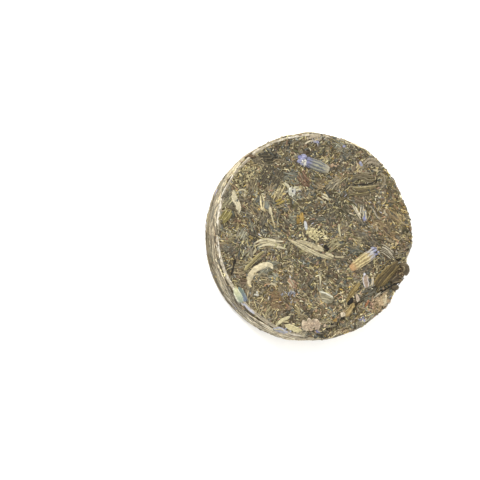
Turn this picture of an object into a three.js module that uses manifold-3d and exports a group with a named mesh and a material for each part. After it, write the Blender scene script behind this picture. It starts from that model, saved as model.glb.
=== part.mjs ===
// A pressed disc of herbal tea: fine-cut leaf, stems and lavender flowers packed
// into one round cake that holds together when it is picked up. The face carries
// flattened buds, petals and leaf strips, the wall shows long fibres that run
// round it, and one stretch of the rim has flaked off and lies lower.
// Millimetres, +Z up. The flat underside rests on z = 0, centred on the origin.

import * as THREE from "three";
import { mergeVertices } from "three/addons/utils/BufferGeometryUtils.js";
import Module from "manifold-3d";

const wasm = await Module();
wasm.setup();

const { degToRad, lerp, smoothstep } = THREE.MathUtils;

// Driving sizes of the disc
const DISC_DIAMETER = 40;
const DISC_THICKNESS = 8.8;
const FACE_CORNER = 0.7; // rounding between the face and the wall
const FOOT_CORNER = 0.6; // rounding between the wall and the underside
const WALL_BULGE = 0.12; // how far the middle of the wall swells out
const FACE_SWELL = 0.14; // height of the slow waves in the pressed face
const RIM_WANDER = 0.16; // how far the outline wanders from a true circle
const EDGE_GRIP = 6; // how steeply the wandering fades towards the middle of the disc

// The stretch of rim that has flaked off, as a chord across the disc
const CHIP_HEADING = degToRad(-47); // where its middle lies
const CHIP_CHORD = 14.9; // distance of the broken edge from the centre
const CHIP_BOW = 1.1; // how far the broken edge bows outwards
const CHIP_STEP = 0.7; // drop from the face to the layer below
const CHIP_SLOPE = 0.17; // further drop for each millimetre outwards
const CHIP_TOOL_HEIGHT = 6; // height of the solid that is cut away there
const CHIP_TOOL_STEPS = 36;

// Waves of the broken edge: height in mm, and radians for each mm along it
const BREAK_WAVES = [
  { height: 0.22, rate: 2.6 },
  { height: 0.13, rate: 5.9 },
];

// Waves of the outline, as shares of RIM_WANDER, and how many go round the disc
const RIM_WAVES = [
  { share: 0.5, turns: 3, phase: 0.8 },
  { share: 0.35, turns: 7, phase: 2.1 },
  { share: 0.3, turns: 17, phase: 0.4 },
];

// Bumps and dents of the outline: heading and half width in degrees, height in mm
const RIM_MARKS = [
  { heading: -19, spread: 3, height: 0.45 }, // a curled bit that stands out
  { heading: -12, spread: 3, height: -0.5 }, // the gap beside it
  { heading: -28, spread: 4, height: -0.45 },
  { heading: -41, spread: 6, height: 0.3 },
  { heading: 24, spread: 5, height: -0.3 },
  { heading: 58, spread: 9, height: 0.25 },
  { heading: 112, spread: 8, height: -0.2 },
  { heading: 228, spread: 7, height: 0.25 },
];
const FOOT_SHARE = 0.3; // how much of a bump is left at the foot of the wall

// Slow waves of the face, as shares of FACE_SWELL, and radians for each mm
const FACE_WAVES = [
  { share: 0.25, alongX: 0.62, alongY: 0.31, phase: 0.7 },
  { share: 0.2, alongX: 0.37, alongY: -0.83, phase: 2.3 },
  { share: 0.15, alongX: 1.31, alongY: 1.07, phase: 4.1 },
];

// Strips of leaf and stem
const STRIP_THICKNESS = 0.55; // the upper part of it shows
const STRIP_LIFT = 0.02; // height of a strip's middle over the surface
const STRIP_PIECES = 3;
const STRIP_TURNS = 1.2; // ripples along a strip
const TIP_SHARE = 0.3; // width at the tips, as a share of the middle's
const TIP_ROUNDING = 0.6; // below 1, the strip stays wide for longer
const ROUTE_LIFT = 0.06;
const ROUTE_PIECES = 6;
const ROUTE_RIPPLE = 0.05;

// Buds and flakes
const BUD_SIDES = 10;
const BUD_SINK = 0.12; // how far a bud's middle lies below the face, as a share of its width
const BUD_FLATNESS = 0.72; // height of a pressed bud as a share of its width
const BUD_RIB = 0.09;
const FLAKE_THICKNESS = 0.6;
const FLAKE_SIDES = 8;
const FLAKE_RIPPLE = 0.05;

// Shreds that are scattered by a rule
const SCATTER_SEED = 4732;
const GOLDEN_ANGLE = Math.PI * (3 - Math.sqrt(5));
const FACE_SHREDS = 66;
const FACE_SHRED_LENGTH = 4.6; // of the longest
const FACE_SHRED_EDGE = 1.6; // the spiral of shreds ends this far from the rim
const CHIP_SHREDS = 10;
const CHIP_SHRED_LENGTH = 3;
const CHIP_SHRED_ARC = 66; // degrees of the rim over which they lie
const CHIP_SHRED_STRAY = 35; // degrees to either side of the break's own heading
const CHIP_SHRED_GAP = 0.4; // clear distance from the broken edge
const WALL_FIBRES = 32;
const WALL_LAYERS = 8;
const WALL_LAYER_STEP = 5; // each fibre lies this many layers over the one before it
const WALL_FIBRE_FOOT = 1.6; // height of the lowest layer
const WALL_FIBRE_TOP = 2.4; // the highest lies this far below the face
const WALL_FIBRE_SINK = 0.08;

// How finely the solids are faceted
const CORE_SEGMENTS = 72;
const CORE_RINGS = 8;
const WALL_ROWS = 4;
const SAME_POINT = 1e-4;
const FINEST_EDGE = 0.02; // detail below this is smoothed out of the union

const RADIUS = DISC_DIAMETER / 2;
const HALF_CHORD = Math.sqrt(RADIUS ** 2 - CHIP_CHORD ** 2);
const UP = new THREE.Vector3(0, 0, 1);

// A seeded source of numbers from 0 to 1
function makeRandom(seed) {
  let state = seed >>> 0;
  return () => {
    state = (state + 0x6d2b79f5) >>> 0;
    let mixed = Math.imul(state ^ (state >>> 15), state | 1);
    mixed ^= mixed + Math.imul(mixed ^ (mixed >>> 7), mixed | 61);
    return ((mixed ^ (mixed >>> 14)) >>> 0) / 2 ** 32;
  };
}

const random = makeRandom(SCATTER_SEED);
const between = (low, high) => low + (high - low) * random();

// How far the wall stands out from the true circle, at an angle and a share of its height
function rimOffset(angle, up) {
  let offset = 0;
  for (const wave of RIM_WAVES) {
    offset += RIM_WANDER * wave.share * Math.sin(wave.turns * angle + wave.phase);
  }
  for (const mark of RIM_MARKS) {
    const away = angle - degToRad(mark.heading);
    const turn = Math.atan2(Math.sin(away), Math.cos(away));
    const near = Math.exp(-((turn / degToRad(mark.spread)) ** 2));
    offset += lerp(FOOT_SHARE, 1, up) * mark.height * near;
  }
  return offset;
}

// How far the wall swells out at a share of its height
function wallBulge(up) {
  return WALL_BULGE * 4 * up * (1 - up);
}

// How far the waves of the face lie below its highest level
function faceDrop(x, y) {
  let waves = 0.5;
  for (const wave of FACE_WAVES) {
    waves += wave.share * Math.sin(wave.alongX * x + wave.alongY * y + wave.phase);
  }
  return FACE_SWELL * (1 - waves);
}

// How far out the broken edge runs, at a place along the chord
function breakLine(along) {
  const bow = CHIP_BOW * (Math.max(0, 1 - (along / HALF_CHORD) ** 2) - 0.5);
  return BREAK_WAVES.reduce(
    (out, wave) => out + wave.height * Math.sin(wave.rate * along),
    CHIP_CHORD + bow,
  );
}

// Distance beyond the broken edge, which is negative on the whole face
function beyondBreak(x, y) {
  const out = x * Math.cos(CHIP_HEADING) + y * Math.sin(CHIP_HEADING);
  const along = -x * Math.sin(CHIP_HEADING) + y * Math.cos(CHIP_HEADING);
  return out - breakLine(along);
}

// Height of the upper surface, on the face and on the flaked stretch
function faceHeight(x, y) {
  const whole = DISC_THICKNESS - faceDrop(x, y);
  const beyond = beyondBreak(x, y);
  return beyond < 0 ? whole : whole - CHIP_STEP - CHIP_SLOPE * beyond;
}

// Calls a function on each vertex of a geometry and stores what it returns
function moveVertices(geometry, move) {
  const position = geometry.getAttribute("position");
  const point = new THREE.Vector3();
  for (let i = 0; i < position.count; i++) {
    point.fromBufferAttribute(position, i);
    const moved = move(point);
    position.setXYZ(i, moved.x, moved.y, moved.z);
  }
  return geometry;
}

// A closed geometry as a solid
function solidOf(geometry) {
  const bare = geometry.clone();
  bare.deleteAttribute("normal");
  bare.deleteAttribute("uv");
  const merged = mergeVertices(bare, SAME_POINT);
  const triVerts = new Uint32Array(merged.index.array);
  const vertProperties = merged.getAttribute("position").array;
  return new wasm.Manifold(new wasm.Mesh({ numProp: 3, vertProperties, triVerts }));
}

// Half of the disc's section, from the middle of its underside to the middle of its face
function discProfile() {
  const faceStart = DISC_THICKNESS - FACE_CORNER;
  const profile = new THREE.Path();
  profile.moveTo(0, 0);
  profile.lineTo(RADIUS - FOOT_CORNER, 0);
  profile.absarc(RADIUS - FOOT_CORNER, FOOT_CORNER, FOOT_CORNER, -Math.PI / 2, 0);
  for (let row = 1; row <= WALL_ROWS; row++) {
    profile.lineTo(RADIUS, lerp(FOOT_CORNER, faceStart, row / WALL_ROWS));
  }
  profile.absarc(RADIUS - FACE_CORNER, faceStart, FACE_CORNER, 0, Math.PI / 2);
  for (let ring = CORE_RINGS - 1; ring >= 0; ring--) {
    profile.lineTo((RADIUS - FACE_CORNER) * (ring / CORE_RINGS), DISC_THICKNESS);
  }
  return profile
    .getPoints(2)
    .filter((point, i, all) => i === 0 || point.distanceTo(all[i - 1]) > SAME_POINT);
}

// The disc without its pieces: a lathed form whose outline and face are uneven
function pressedCore() {
  const core = new THREE.LatheGeometry(discProfile(), CORE_SEGMENTS);
  core.rotateX(Math.PI / 2);
  return moveVertices(core, (point) => {
    const angle = Math.atan2(point.y, point.x);
    const reach = Math.hypot(point.x, point.y) / RADIUS;
    const up = point.z / DISC_THICKNESS;
    const out = (rimOffset(angle, up) + wallBulge(up)) * reach ** EDGE_GRIP;
    const stretch = 1 + out / RADIUS;
    const drop = faceDrop(point.x, point.y) * smoothstep(up, 0.5, 1);
    return new THREE.Vector3(point.x * stretch, point.y * stretch, point.z - drop);
  });
}

// What has flaked off: everything beyond the broken edge, above the sloping layer
function flakedOff() {
  const reach = RADIUS + 2;
  const shape = new THREE.Shape();
  shape.moveTo(reach, -reach);
  shape.lineTo(reach, reach);
  for (let step = 0; step <= CHIP_TOOL_STEPS; step++) {
    const along = reach * (1 - (2 * step) / CHIP_TOOL_STEPS);
    shape.lineTo(breakLine(along), along);
  }
  const prism = new THREE.ExtrudeGeometry(shape, {
    depth: CHIP_TOOL_HEIGHT,
    bevelEnabled: false,
  });
  const layer = DISC_THICKNESS - FACE_SWELL / 2 - CHIP_STEP;
  return moveVertices(prism, (point) => {
    const beyond = Math.max(0, point.x - breakLine(point.y));
    const isFoot = point.z < CHIP_TOOL_HEIGHT / 2;
    const height = layer + point.z - (isFoot ? CHIP_SLOPE * beyond : 0);
    return new THREE.Vector3(point.x, point.y, height).applyAxisAngle(UP, CHIP_HEADING);
  });
}

// Lays a piece, modelled flat at the origin, on the face and lets it follow the waves
function onFace(geometry, [x, y], turnDegrees) {
  const turn = degToRad(turnDegrees);
  return moveVertices(geometry, (point) => {
    const placed = point.clone().applyAxisAngle(UP, turn);
    placed.x += x;
    placed.y += y;
    placed.z += faceHeight(placed.x, placed.y);
    return placed;
  });
}

// Wraps a piece round the wall: its X runs round the disc, its Y up, its Z outwards
function onWall(geometry, headingDegrees, height, turnDegrees) {
  const heading = degToRad(headingDegrees);
  const turn = degToRad(turnDegrees);
  return moveVertices(geometry, (point) => {
    const laid = point.clone().applyAxisAngle(UP, turn);
    const angle = heading + laid.x / RADIUS;
    const up = (height + laid.y) / DISC_THICKNESS;
    const out = RADIUS + rimOffset(angle, up) + wallBulge(up) + laid.z;
    return new THREE.Vector3(out * Math.cos(angle), out * Math.sin(angle), height + laid.y);
  });
}

// Width of a strip at a share of its length, as a share of its middle's
function taperAt(share) {
  return TIP_SHARE + (1 - TIP_SHARE) * Math.sin(Math.PI * share) ** TIP_ROUNDING;
}

// A strip of leaf or stem: tapered to both ends, bent sideways, rolled and rippled
function leafStrip({ length, width, bend, ripple, roll = 0, lift }) {
  const strip = new THREE.BoxGeometry(1, 1, 1, STRIP_PIECES, 1, 1);
  return moveVertices(strip, (point) => {
    const share = point.x + 0.5;
    const taper = taperAt(share);
    const across = point.y * width * taper;
    const wave = ripple * Math.cos(2 * Math.PI * STRIP_TURNS * share + length);
    return new THREE.Vector3(
      point.x * length,
      across + bend * (1 - (2 * point.x) ** 2),
      point.z * STRIP_THICKNESS * taper + lift + wave + roll * across,
    );
  });
}

// A longer strip that follows a route of points on the face
function routedStrip({ route, width, lift = ROUTE_LIFT }) {
  const curve = new THREE.CatmullRomCurve3(route.map(([x, y]) => new THREE.Vector3(x, y, 0)));
  const strip = new THREE.BoxGeometry(1, 1, 1, ROUTE_PIECES, 1, 1);
  return moveVertices(strip, (point) => {
    const share = point.x + 0.5;
    const side = curve.getTangent(share).cross(UP).negate();
    const spot = curve.getPoint(share).addScaledVector(side, point.y * width * taperAt(share));
    const wave = ROUTE_RIPPLE * Math.cos(2 * Math.PI * STRIP_TURNS * share);
    spot.z = faceHeight(spot.x, spot.y) + point.z * STRIP_THICKNESS + lift + wave;
    return spot;
  });
}

// How wide a lavender calyx is along its length, from its foot to its mouth
const CALYX_STATIONS = [
  { share: 0, swell: 0 },
  { share: 0.05, swell: 0.42 },
  { share: 0.3, swell: 0.86 },
  { share: 0.62, swell: 1 },
  { share: 0.88, swell: 0.84 },
  { share: 1, swell: 0.6 },
  { share: 1, swell: 0 },
];

// A pressed lavender bud: a ribbed calyx lying on its side, its mouth towards +X
function lavenderCalyx({ length, width }) {
  const profile = CALYX_STATIONS.map(
    ({ share, swell }) => new THREE.Vector2((swell * width) / 2, (share - 0.5) * length),
  );
  const calyx = new THREE.LatheGeometry(profile, BUD_SIDES);
  calyx.rotateZ(-Math.PI / 2);
  return moveVertices(calyx, (point) => {
    const around = Math.atan2(point.z, point.y);
    const rib = 1 + BUD_RIB * Math.cos((BUD_SIDES / 2) * around);
    const height = point.z * rib * BUD_FLATNESS - BUD_SINK * width;
    return new THREE.Vector3(point.x, point.y * rib, height);
  });
}

// A flat uneven flake or petal with a ragged outline
function flake({ length, width }) {
  const outline = [];
  for (let side = 0; side < FLAKE_SIDES; side++) {
    const angle = (2 * Math.PI * side) / FLAKE_SIDES;
    const reach = between(0.82, 1.12) / 2;
    outline.push(
      new THREE.Vector2(length * reach * Math.cos(angle), width * reach * Math.sin(angle)),
    );
  }
  const sheet = new THREE.ExtrudeGeometry(new THREE.Shape(outline), {
    depth: FLAKE_THICKNESS,
    bevelEnabled: false,
  });
  return moveVertices(sheet, (point) => {
    const wave = FLAKE_RIPPLE * Math.cos(1.7 * point.x + point.y);
    return point.setZ(point.z - FLAKE_THICKNESS / 2 + wave);
  });
}

// Lavender buds on the face: middle, heading in degrees, and size
const BUDS = [
  { at: [0.6, 13.4], turn: 160, length: 4.8, width: 2.1 }, // grey-blue
  { at: [9.4, -4.8], turn: 34, length: 5.6, width: 2 }, // straw-coloured
  { at: [-15.1, -11.9], turn: -52, length: 3.4, width: 1.6 }, // at the rim
];

// Petals and flat flakes on the face
const FLAKES = [
  { at: [-2.6, 14.6], turn: 15, length: 2.2, width: 1.9 }, // blue corolla
  { at: [12.2, -2.9], turn: 70, length: 1.5, width: 1.3 }, // tip of the straw bud
  { at: [-2.2, 11], turn: -47, length: 3.2, width: 1.6 }, // red-brown leaf
  { at: [-4.7, 8.4], turn: 20, length: 1.9, width: 1.6 }, // white floret
  { at: [-0.2, 0.2], turn: 5, length: 3.4, width: 2.2 }, // cream crumbs
  { at: [-9.8, 5.6], turn: -70, length: 2, width: 1.1 }, // blue-grey petal
  { at: [10.2, -9], turn: -84, length: 2.6, width: 1.2 }, // pink petal
  { at: [2, -12.3], turn: -20, length: 2.9, width: 1.9 }, // leaf fragment
  { at: [0.2, -14.8], turn: 40, length: 2.7, width: 2.4 }, // curled leaf
  { at: [-1, -17.5], turn: 8, length: 3.4, width: 2.2 }, // pink flake
  { at: [-4.8, -18], turn: -15, length: 3, width: 1.2 }, // cream leaf
  { at: [-7.2, -18.2], turn: -13, length: 2.3, width: 1 }, // grey-blue petal
  { at: [10.1, 3.9], turn: -60, length: 1.9, width: 1.1 }, // violet petal
  { at: [-0.6, 18.2], turn: 4, length: 2.3, width: 1 }, // pale petal at the rim
  { at: [13.9, -13.1], turn: 38, length: 3.8, width: 3 }, // crust on the chip
  { at: [16.3, -9.2], turn: 40, length: 2.7, width: 1.7 }, // chunk on the chip
  { at: [14.8, -3.4], turn: -31, length: 3.2, width: 1.9 }, // striped leaf
  { at: [-5.2, -9.6], turn: 70, length: 2, width: 1.3 }, // bits of a floret
  { at: [11.4, 14.2], turn: 10, length: 3, width: 1.4 }, // pale curl
];

// Strips of leaf and stem, each with its route over the face
const ROUTES = [
  // pale crescent
  {
    route: [[-13.4, -10.4], [-13.2, -8.7], [-12, -7], [-10.3, -6.1], [-8.5, -6.7]],
    width: 1.15,
    lift: 0.12,
  },
  // split pale leaf, and the long one that carries on from it
  { route: [[-12.6, -2.4], [-10.8, -1.6], [-8.1, -1.8], [-5.8, -3.1]], width: 1.5 },
  { route: [[-4.8, -1.4], [-2.1, -2], [0.6, -3.2], [4.6, -4.8]], width: 1.4 },
  // cream leaf by the left rim
  { route: [[-16.4, 8], [-16, 5.8], [-15.3, 3.5]], width: 1.2 },
  // thin stem
  { route: [[-9.2, 5], [-8.8, 3], [-8.1, 0.9]], width: 0.6 },
  // olive stem in two pieces
  { route: [[9, -9.2], [7.4, -11.4], [6, -13.3]], width: 0.85 },
  { route: [[7.4, -12.8], [6.7, -14.4], [5.9, -16]], width: 1.1 },
  // dark leaf along the break
  { route: [[11.9, -8.9], [14.2, -7.6], [16.4, -5.6], [17.5, -4.2]], width: 2.2, lift: 0.1 },
  // two leaf strips, one above the other
  { route: [[7.2, 10.7], [11, 11.4], [14.5, 11.3]], width: 1.5 },
  { route: [[7.2, 8.6], [11, 9], [14.6, 8.6]], width: 1.6 },
  // olive stem by the crescent
  { route: [[-10.6, -3.6], [-12.6, -5.4], [-14.5, -7.4]], width: 0.9 },
  // forked pale stem
  { route: [[-8.1, -17.6], [-6.8, -16.6], [-5.1, -15.9]], width: 0.8 },
  // forked fibre
  { route: [[7.5, 6.4], [8.7, 5.2], [9.5, 3.6]], width: 0.8 },
];

// The pieces of the face that can be told apart in the pressed leaf
function facePieces() {
  return [
    ...BUDS.map((bud) => onFace(lavenderCalyx(bud), bud.at, bud.turn)),
    ...FLAKES.map((petal) => onFace(flake(petal), petal.at, petal.turn)),
    ...ROUTES.map(routedStrip),
  ];
}

// A leaf shred of a random size
function shred(longest) {
  return leafStrip({
    length: between(0.45, 1) * longest,
    width: between(0.65, 1.3),
    bend: between(-0.35, 0.35),
    ripple: between(0.02, 0.08),
    roll: between(-0.18, 0.18),
    lift: STRIP_LIFT + between(-0.04, 0.06),
  });
}

// Shreds spread evenly over the face by a sunflower spiral, heading anywhere
function faceShreds() {
  const shreds = [];
  for (let i = 0; i < FACE_SHREDS; i++) {
    const reach = (RADIUS - FACE_SHRED_EDGE) * Math.sqrt((i + 0.5) / FACE_SHREDS);
    const angle = i * GOLDEN_ANGLE + between(-0.1, 0.1);
    const at = [reach * Math.cos(angle), reach * Math.sin(angle)];
    shreds.push(onFace(shred(FACE_SHRED_LENGTH), at, between(0, 180)));
  }
  return shreds;
}

// Shreds on the flaked stretch, which lie along the broken edge
function chipShreds() {
  const alongBreak = THREE.MathUtils.radToDeg(CHIP_HEADING) + 90;
  const shreds = [];
  for (let i = 0; i < CHIP_SHREDS; i++) {
    const share = (i + 0.5) / CHIP_SHREDS - 0.5;
    const angle = CHIP_HEADING + degToRad(CHIP_SHRED_ARC) * share;
    const reach = RADIUS - between(1.3, 3.2);
    const at = [reach * Math.cos(angle), reach * Math.sin(angle)];
    if (beyondBreak(...at) < CHIP_SHRED_GAP) continue;
    const turn = alongBreak + between(-CHIP_SHRED_STRAY, CHIP_SHRED_STRAY);
    shreds.push(onFace(shred(CHIP_SHRED_LENGTH), at, turn));
  }
  return shreds;
}

// Long fibres that run round the wall in layers
function wallFibres() {
  const lowest = WALL_FIBRE_FOOT;
  const highest = DISC_THICKNESS - WALL_FIBRE_TOP;
  const fibres = [];
  for (let i = 0; i < WALL_FIBRES; i++) {
    const heading = (360 * i) / WALL_FIBRES + between(-3, 3);
    const layer = (i * WALL_LAYER_STEP) % WALL_LAYERS;
    const height = lerp(lowest, highest, layer / (WALL_LAYERS - 1));
    const fibre = leafStrip({
      length: between(4, 8),
      width: between(0.8, 1.5),
      bend: between(-0.2, 0.2),
      ripple: between(0.01, 0.05),
      lift: -WALL_FIBRE_SINK,
    });
    fibres.push(onWall(fibre, heading, height, between(-7, 7)));
  }
  return fibres;
}

// The whole cake as one solid: the core less its chip, with every piece fused on
function teaCake() {
  const pieces = [...facePieces(), ...faceShreds(), ...chipShreds(), ...wallFibres()];
  const core = solidOf(pressedCore()).subtract(solidOf(flakedOff()));
  const fused = wasm.Manifold.union([core, ...pieces.map(solidOf)]);
  const ground = new THREE.BoxGeometry(3 * RADIUS, 3 * RADIUS, RADIUS);
  ground.translate(0, 0, -RADIUS / 2);
  const bodies = fused.subtract(solidOf(ground)).decompose();
  bodies.sort((a, b) => b.volume() - a.volume());
  return bodies[0].simplify(FINEST_EDGE);
}

// A solid as a geometry that stands centred over the origin
function geometryOf(solid) {
  const { numProp, numVert, vertProperties, triVerts } = solid.getMesh();
  const position = new Float32Array(numVert * 3);
  for (let i = 0; i < numVert; i++) {
    position.set(vertProperties.subarray(i * numProp, i * numProp + 3), i * 3);
  }
  const geometry = new THREE.BufferGeometry()
    .setAttribute("position", new THREE.BufferAttribute(position, 3))
    .setIndex(new THREE.BufferAttribute(triVerts, 1));
  geometry.computeBoundingBox();
  const { min, max } = geometry.boundingBox;
  geometry.translate(-(min.x + max.x) / 2, -(min.y + max.y) / 2, -min.z);
  geometry.computeVertexNormals();
  return geometry;
}

const pressedLeaf = new THREE.MeshStandardMaterial({
  color: 0x887c64,
  roughness: 0.9,
  metalness: 0,
  flatShading: true,
});

const cake = new THREE.Mesh(geometryOf(teaCake()), pressedLeaf);
cake.name = "tea_cake";

const group = new THREE.Group();
group.add(cake);

export default group;
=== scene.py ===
"""A small cake of pressed herbal tea with lavender, dressed for rendering.

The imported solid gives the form. Over it go a finely crumpled core, thousands of
shreds of leaf and fibre, and the pieces that can be told apart on the face:
lavender buds, petals, stems and larger leaves. Lengths are in millimetres here
and become metres when a mesh is made.
"""

import math

import bpy
import numpy as np
from mathutils import Matrix, Vector


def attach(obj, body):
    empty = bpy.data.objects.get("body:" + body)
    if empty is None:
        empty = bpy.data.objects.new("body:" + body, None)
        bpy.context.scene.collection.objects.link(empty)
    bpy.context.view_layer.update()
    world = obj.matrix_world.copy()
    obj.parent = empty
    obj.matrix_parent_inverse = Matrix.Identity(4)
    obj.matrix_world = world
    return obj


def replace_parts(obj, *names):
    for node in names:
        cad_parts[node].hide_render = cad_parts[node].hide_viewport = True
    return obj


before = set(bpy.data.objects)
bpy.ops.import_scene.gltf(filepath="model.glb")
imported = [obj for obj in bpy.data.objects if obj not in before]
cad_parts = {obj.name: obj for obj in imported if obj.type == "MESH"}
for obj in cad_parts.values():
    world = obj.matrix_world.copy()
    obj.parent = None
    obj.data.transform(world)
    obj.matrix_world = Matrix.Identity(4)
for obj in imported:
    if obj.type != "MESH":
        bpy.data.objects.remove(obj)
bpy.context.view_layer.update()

MM = 0.001
NODE = "tea_cake"
BODY = "root"
SEED = 4732

# Driving sizes of the disc, as the solid has them
DISC_DIAMETER = 40.0
DISC_THICKNESS = 8.8
FACE_CORNER = 0.7
FOOT_CORNER = 0.6
WALL_BULGE = 0.12
FACE_SWELL = 0.14
FACE_WAVES = [(0.62, 0.31, 0.7, 0.25), (0.37, -0.83, 2.3, 0.2), (1.31, 1.07, 4.1, 0.15)]
RIM_WANDER = 0.16
RIM_WAVES = [(3, 0.8, 0.5), (7, 2.1, 0.35), (17, 0.4, 0.3)]
CHIP_HEADING = math.radians(-47)
CHIP_CHORD = 14.9
CHIP_BOW = 1.1
CHIP_STEP = 0.7
CHIP_SLOPE = 0.17
BREAK_WAVES = [(2.6, 0.22), (5.9, 0.13)]
SOLID_SHIFT = (-0.113, 0.017)  # from the disc's own centre to the solid's
PRESSED_DEPTH = 0.3  # relief nearer than this to the ground is pressed flatter

RADIUS = DISC_DIAMETER / 2
TOP_ARC = FACE_CORNER * math.pi / 2
FOOT_ARC = FOOT_CORNER * math.pi / 2
HALF_CHORD = math.sqrt(RADIUS**2 - CHIP_CHORD**2)

# Bumps and dents of the outline: heading and half width in degrees, height in mm
RIM_MARKS = [
    (-19, 3, 0.45), (-12, 3, -0.5), (-28, 4, -0.45), (-41, 6, 0.3),
    (24, 5, -0.3), (58, 9, 0.25), (112, 8, -0.2), (228, 7, 0.25),
]

# The camera: 19 degrees off the vertical, leaning towards a heading of 200 degrees
VIEW_LEAN = math.radians(19)
VIEW_HEADING = math.radians(200)
VIEW_DISTANCE = 224.3
VIEW_LENS = 85.0
SENSOR_WIDTH = 36.0
CLIP_START = 0.01  # in metres
IMAGE_SIDE = 480
PIXELS_PER_MM = 5.175
OUTLINE_CENTRE = (311.0, 237.6)  # pixel at the middle of the cake's outline

# Light and floor. A lamp has its place in metres, its power in watts and its size in metres
SKY_STRENGTH = 1.16
SKY_COLOUR = (1.0, 0.995, 0.985, 1)
LAMPS = {"key": ((-0.22, 0.26, 0.36), 2.6, 0.16), "fill": ((0.3, -0.2, 0.3), 0.65, 0.3)}
LAMP_COLOUR = (1.0, 0.97, 0.92)
FLOOR_COLOUR = "#fdfdfc"
FLOOR_REACH = 1.5  # from its middle to its sides, in metres

# Share of a colour seen in this light that the surface itself has: pieces on top lie in the
# open, and the shreds shade each other
OPEN_SHARE = 0.6
SHADED_SHARE = 0.9

PALE_SHARE = 0.65  # how far pale bits follow the tones of the face

# Painted shadow in the crack under the break: its middle, reach and depth
CRACK_OFFSET = 0.25
CRACK_REACH = 0.4
CRACK_SHADE = 0.55

# Darker stretch low on the wall, and painted light over its whole height on the side turned away from the key
# lamp: heading and spread in degrees, and what is added to the factors for red, green and blue
LOW_WALL_DARKENING = (185, 24, (-0.62, -0.65, -0.72))
LOW_WALL_DARKENING_TOP = (2.5, 6.0)  # heights in mm between which it fades away
WALL_PAINTED_LIGHT = (232, 20, (0.34, 0.38, 0.46))

# Tones of parts of the face: place, radius in mm, and factors for red, green and blue
REGIONS = [
    (-14.1, 11.5, 2.8, (1.45, 1.41, 1.18)),
    (-8.6, 11.2, 3.6, (0.78, 0.8, 0.83)),
    (4.0, 6.3, 3.0, (0.84, 0.86, 0.84)),
    (-3.5, 3.0, 3.0, (0.92, 0.92, 0.88)),
    (-16.8, 2.8, 2.5, (1.15, 1.12, 1.0)),
    (-8.0, -12.5, 2.8, (0.97, 0.84, 0.7)),
    (-7.0, -9.0, 5.5, (1.27, 1.25, 1.22)),
    (-4.0, -15.0, 2.4, (0.8, 0.8, 0.82)),
    (3.4, -14.0, 5.0, (1.42, 1.4, 1.33)),
    (9.0, -16.0, 3.6, (1.65, 1.65, 1.62)),
    (9.0, 14.0, 4.0, (0.9, 0.88, 0.88)),
    (18.5, -0.5, 3.0, (1.15, 1.12, 1.1)),
    (14.0, 3.5, 4.5, (1.16, 1.1, 1.06)),
    (14.1, -3.4, 3.0, (0.92, 0.88, 0.84)),
    (18.5, 6.0, 3.0, (1.15, 1.05, 0.85)),
    (14.5, -12.8, 2.2, (1.2, 1.12, 1.02)),
]


# Layers of noise: the size of the features in mm, and how strong they are
LEAF_FLOW = [(7.0, 2.2), (2.6, 0.9)]
FACE_PATCHES = [(3.0, 0.4), (1.2, 0.34)]
CORE_RELIEF = [(1.1, 0.1), (0.5, 0.09)]
TORN_EDGE = [(0.6, 1.0), (0.25, 0.6)]
WRINKLES = [(0.8, 1.0), (0.33, 0.6)]
SPECKS = [(0.4, 1.0), (0.2, 0.7)]
CALYX_HAIR = [(0.45, 1.0), (0.2, 0.8)]

NOISE_TABLE = 256  # slopes that the noise picks from, a power of two
NOISE_GAIN = 1.6
NOISE_PLANE = 0.37  # height of flat noise, between two layers of the noise's grid


def linear(code):
    """A colour written as #rrggbb in linear light."""
    levels = [int(code[i : i + 2], 16) / 255 for i in (1, 3, 5)]
    return np.array([v / 12.92 if v < 0.04045 else ((v + 0.055) / 1.055) ** 2.4 for v in levels])


def smoothstep(low, high, value):
    """0 up to low, 1 from high on, and smooth between them."""
    share = np.clip((value - low) / (high - low), 0, 1)
    return share * share * (3 - 2 * share)


def noise(points, size, seed):
    """Smooth noise, about -1 to 1, at an array of 3-D points, with features of that size."""
    rng = np.random.default_rng(seed)
    slopes = rng.normal(size=(NOISE_TABLE, 3))
    slopes /= np.linalg.norm(slopes, axis=1)[:, None]
    table = rng.permutation(NOISE_TABLE)
    last = NOISE_TABLE - 1
    points = np.asarray(points, float) / size
    cell = np.floor(points).astype(int)
    local = points - cell
    fade = local**3 * (local * (local * 6 - 15) + 10)
    total = np.zeros(points.shape[:-1])
    for corner in np.ndindex(2, 2, 2):
        at = cell + corner
        pick = table[(table[(table[at[..., 0] & last] + at[..., 1]) & last] + at[..., 2]) & last]
        weight = np.where(np.array(corner) == 1, fade, 1 - fade).prod(-1)
        total += weight * (slopes[pick] * (local - corner)).sum(-1)
    return total * NOISE_GAIN


def layered(points, layers, seed):
    """Noise of several sizes added up."""
    return sum(height * noise(points, size, seed + n) for n, (size, height) in enumerate(layers))


def on_plane(x, y):
    """Where flat noise is taken for a place on a flat side."""
    return np.stack([x, y, np.full_like(x, NOISE_PLANE)], -1)


def moved(x, y, heading, across, along=0.0):
    """Places moved to the left of a heading, and along it."""
    x, y = x - np.sin(heading) * across, y + np.cos(heading) * across
    return x + np.cos(heading) * along, y + np.sin(heading) * along


# Form of the disc. Angles are in radians, and up is a share of the disc's thickness


def rim_offset(angle, up):
    """How far the wall stands out from the true circle."""
    offset = RIM_WANDER * sum(share * np.sin(turns * angle + phase) for turns, phase, share in RIM_WAVES)
    grip = 0.3 + 0.7 * up
    for heading, spread, height in RIM_MARKS:
        away = angle - math.radians(heading)
        turn = np.arctan2(np.sin(away), np.cos(away))
        offset = offset + grip * height * np.exp(-((turn / math.radians(spread)) ** 2))
    return offset


def wall_radius(angle, up):
    """How far the wall is from the middle."""
    up = np.clip(up, 0, 1)
    return RADIUS + rim_offset(angle, up) + WALL_BULGE * 4 * up * (1 - up)


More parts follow.
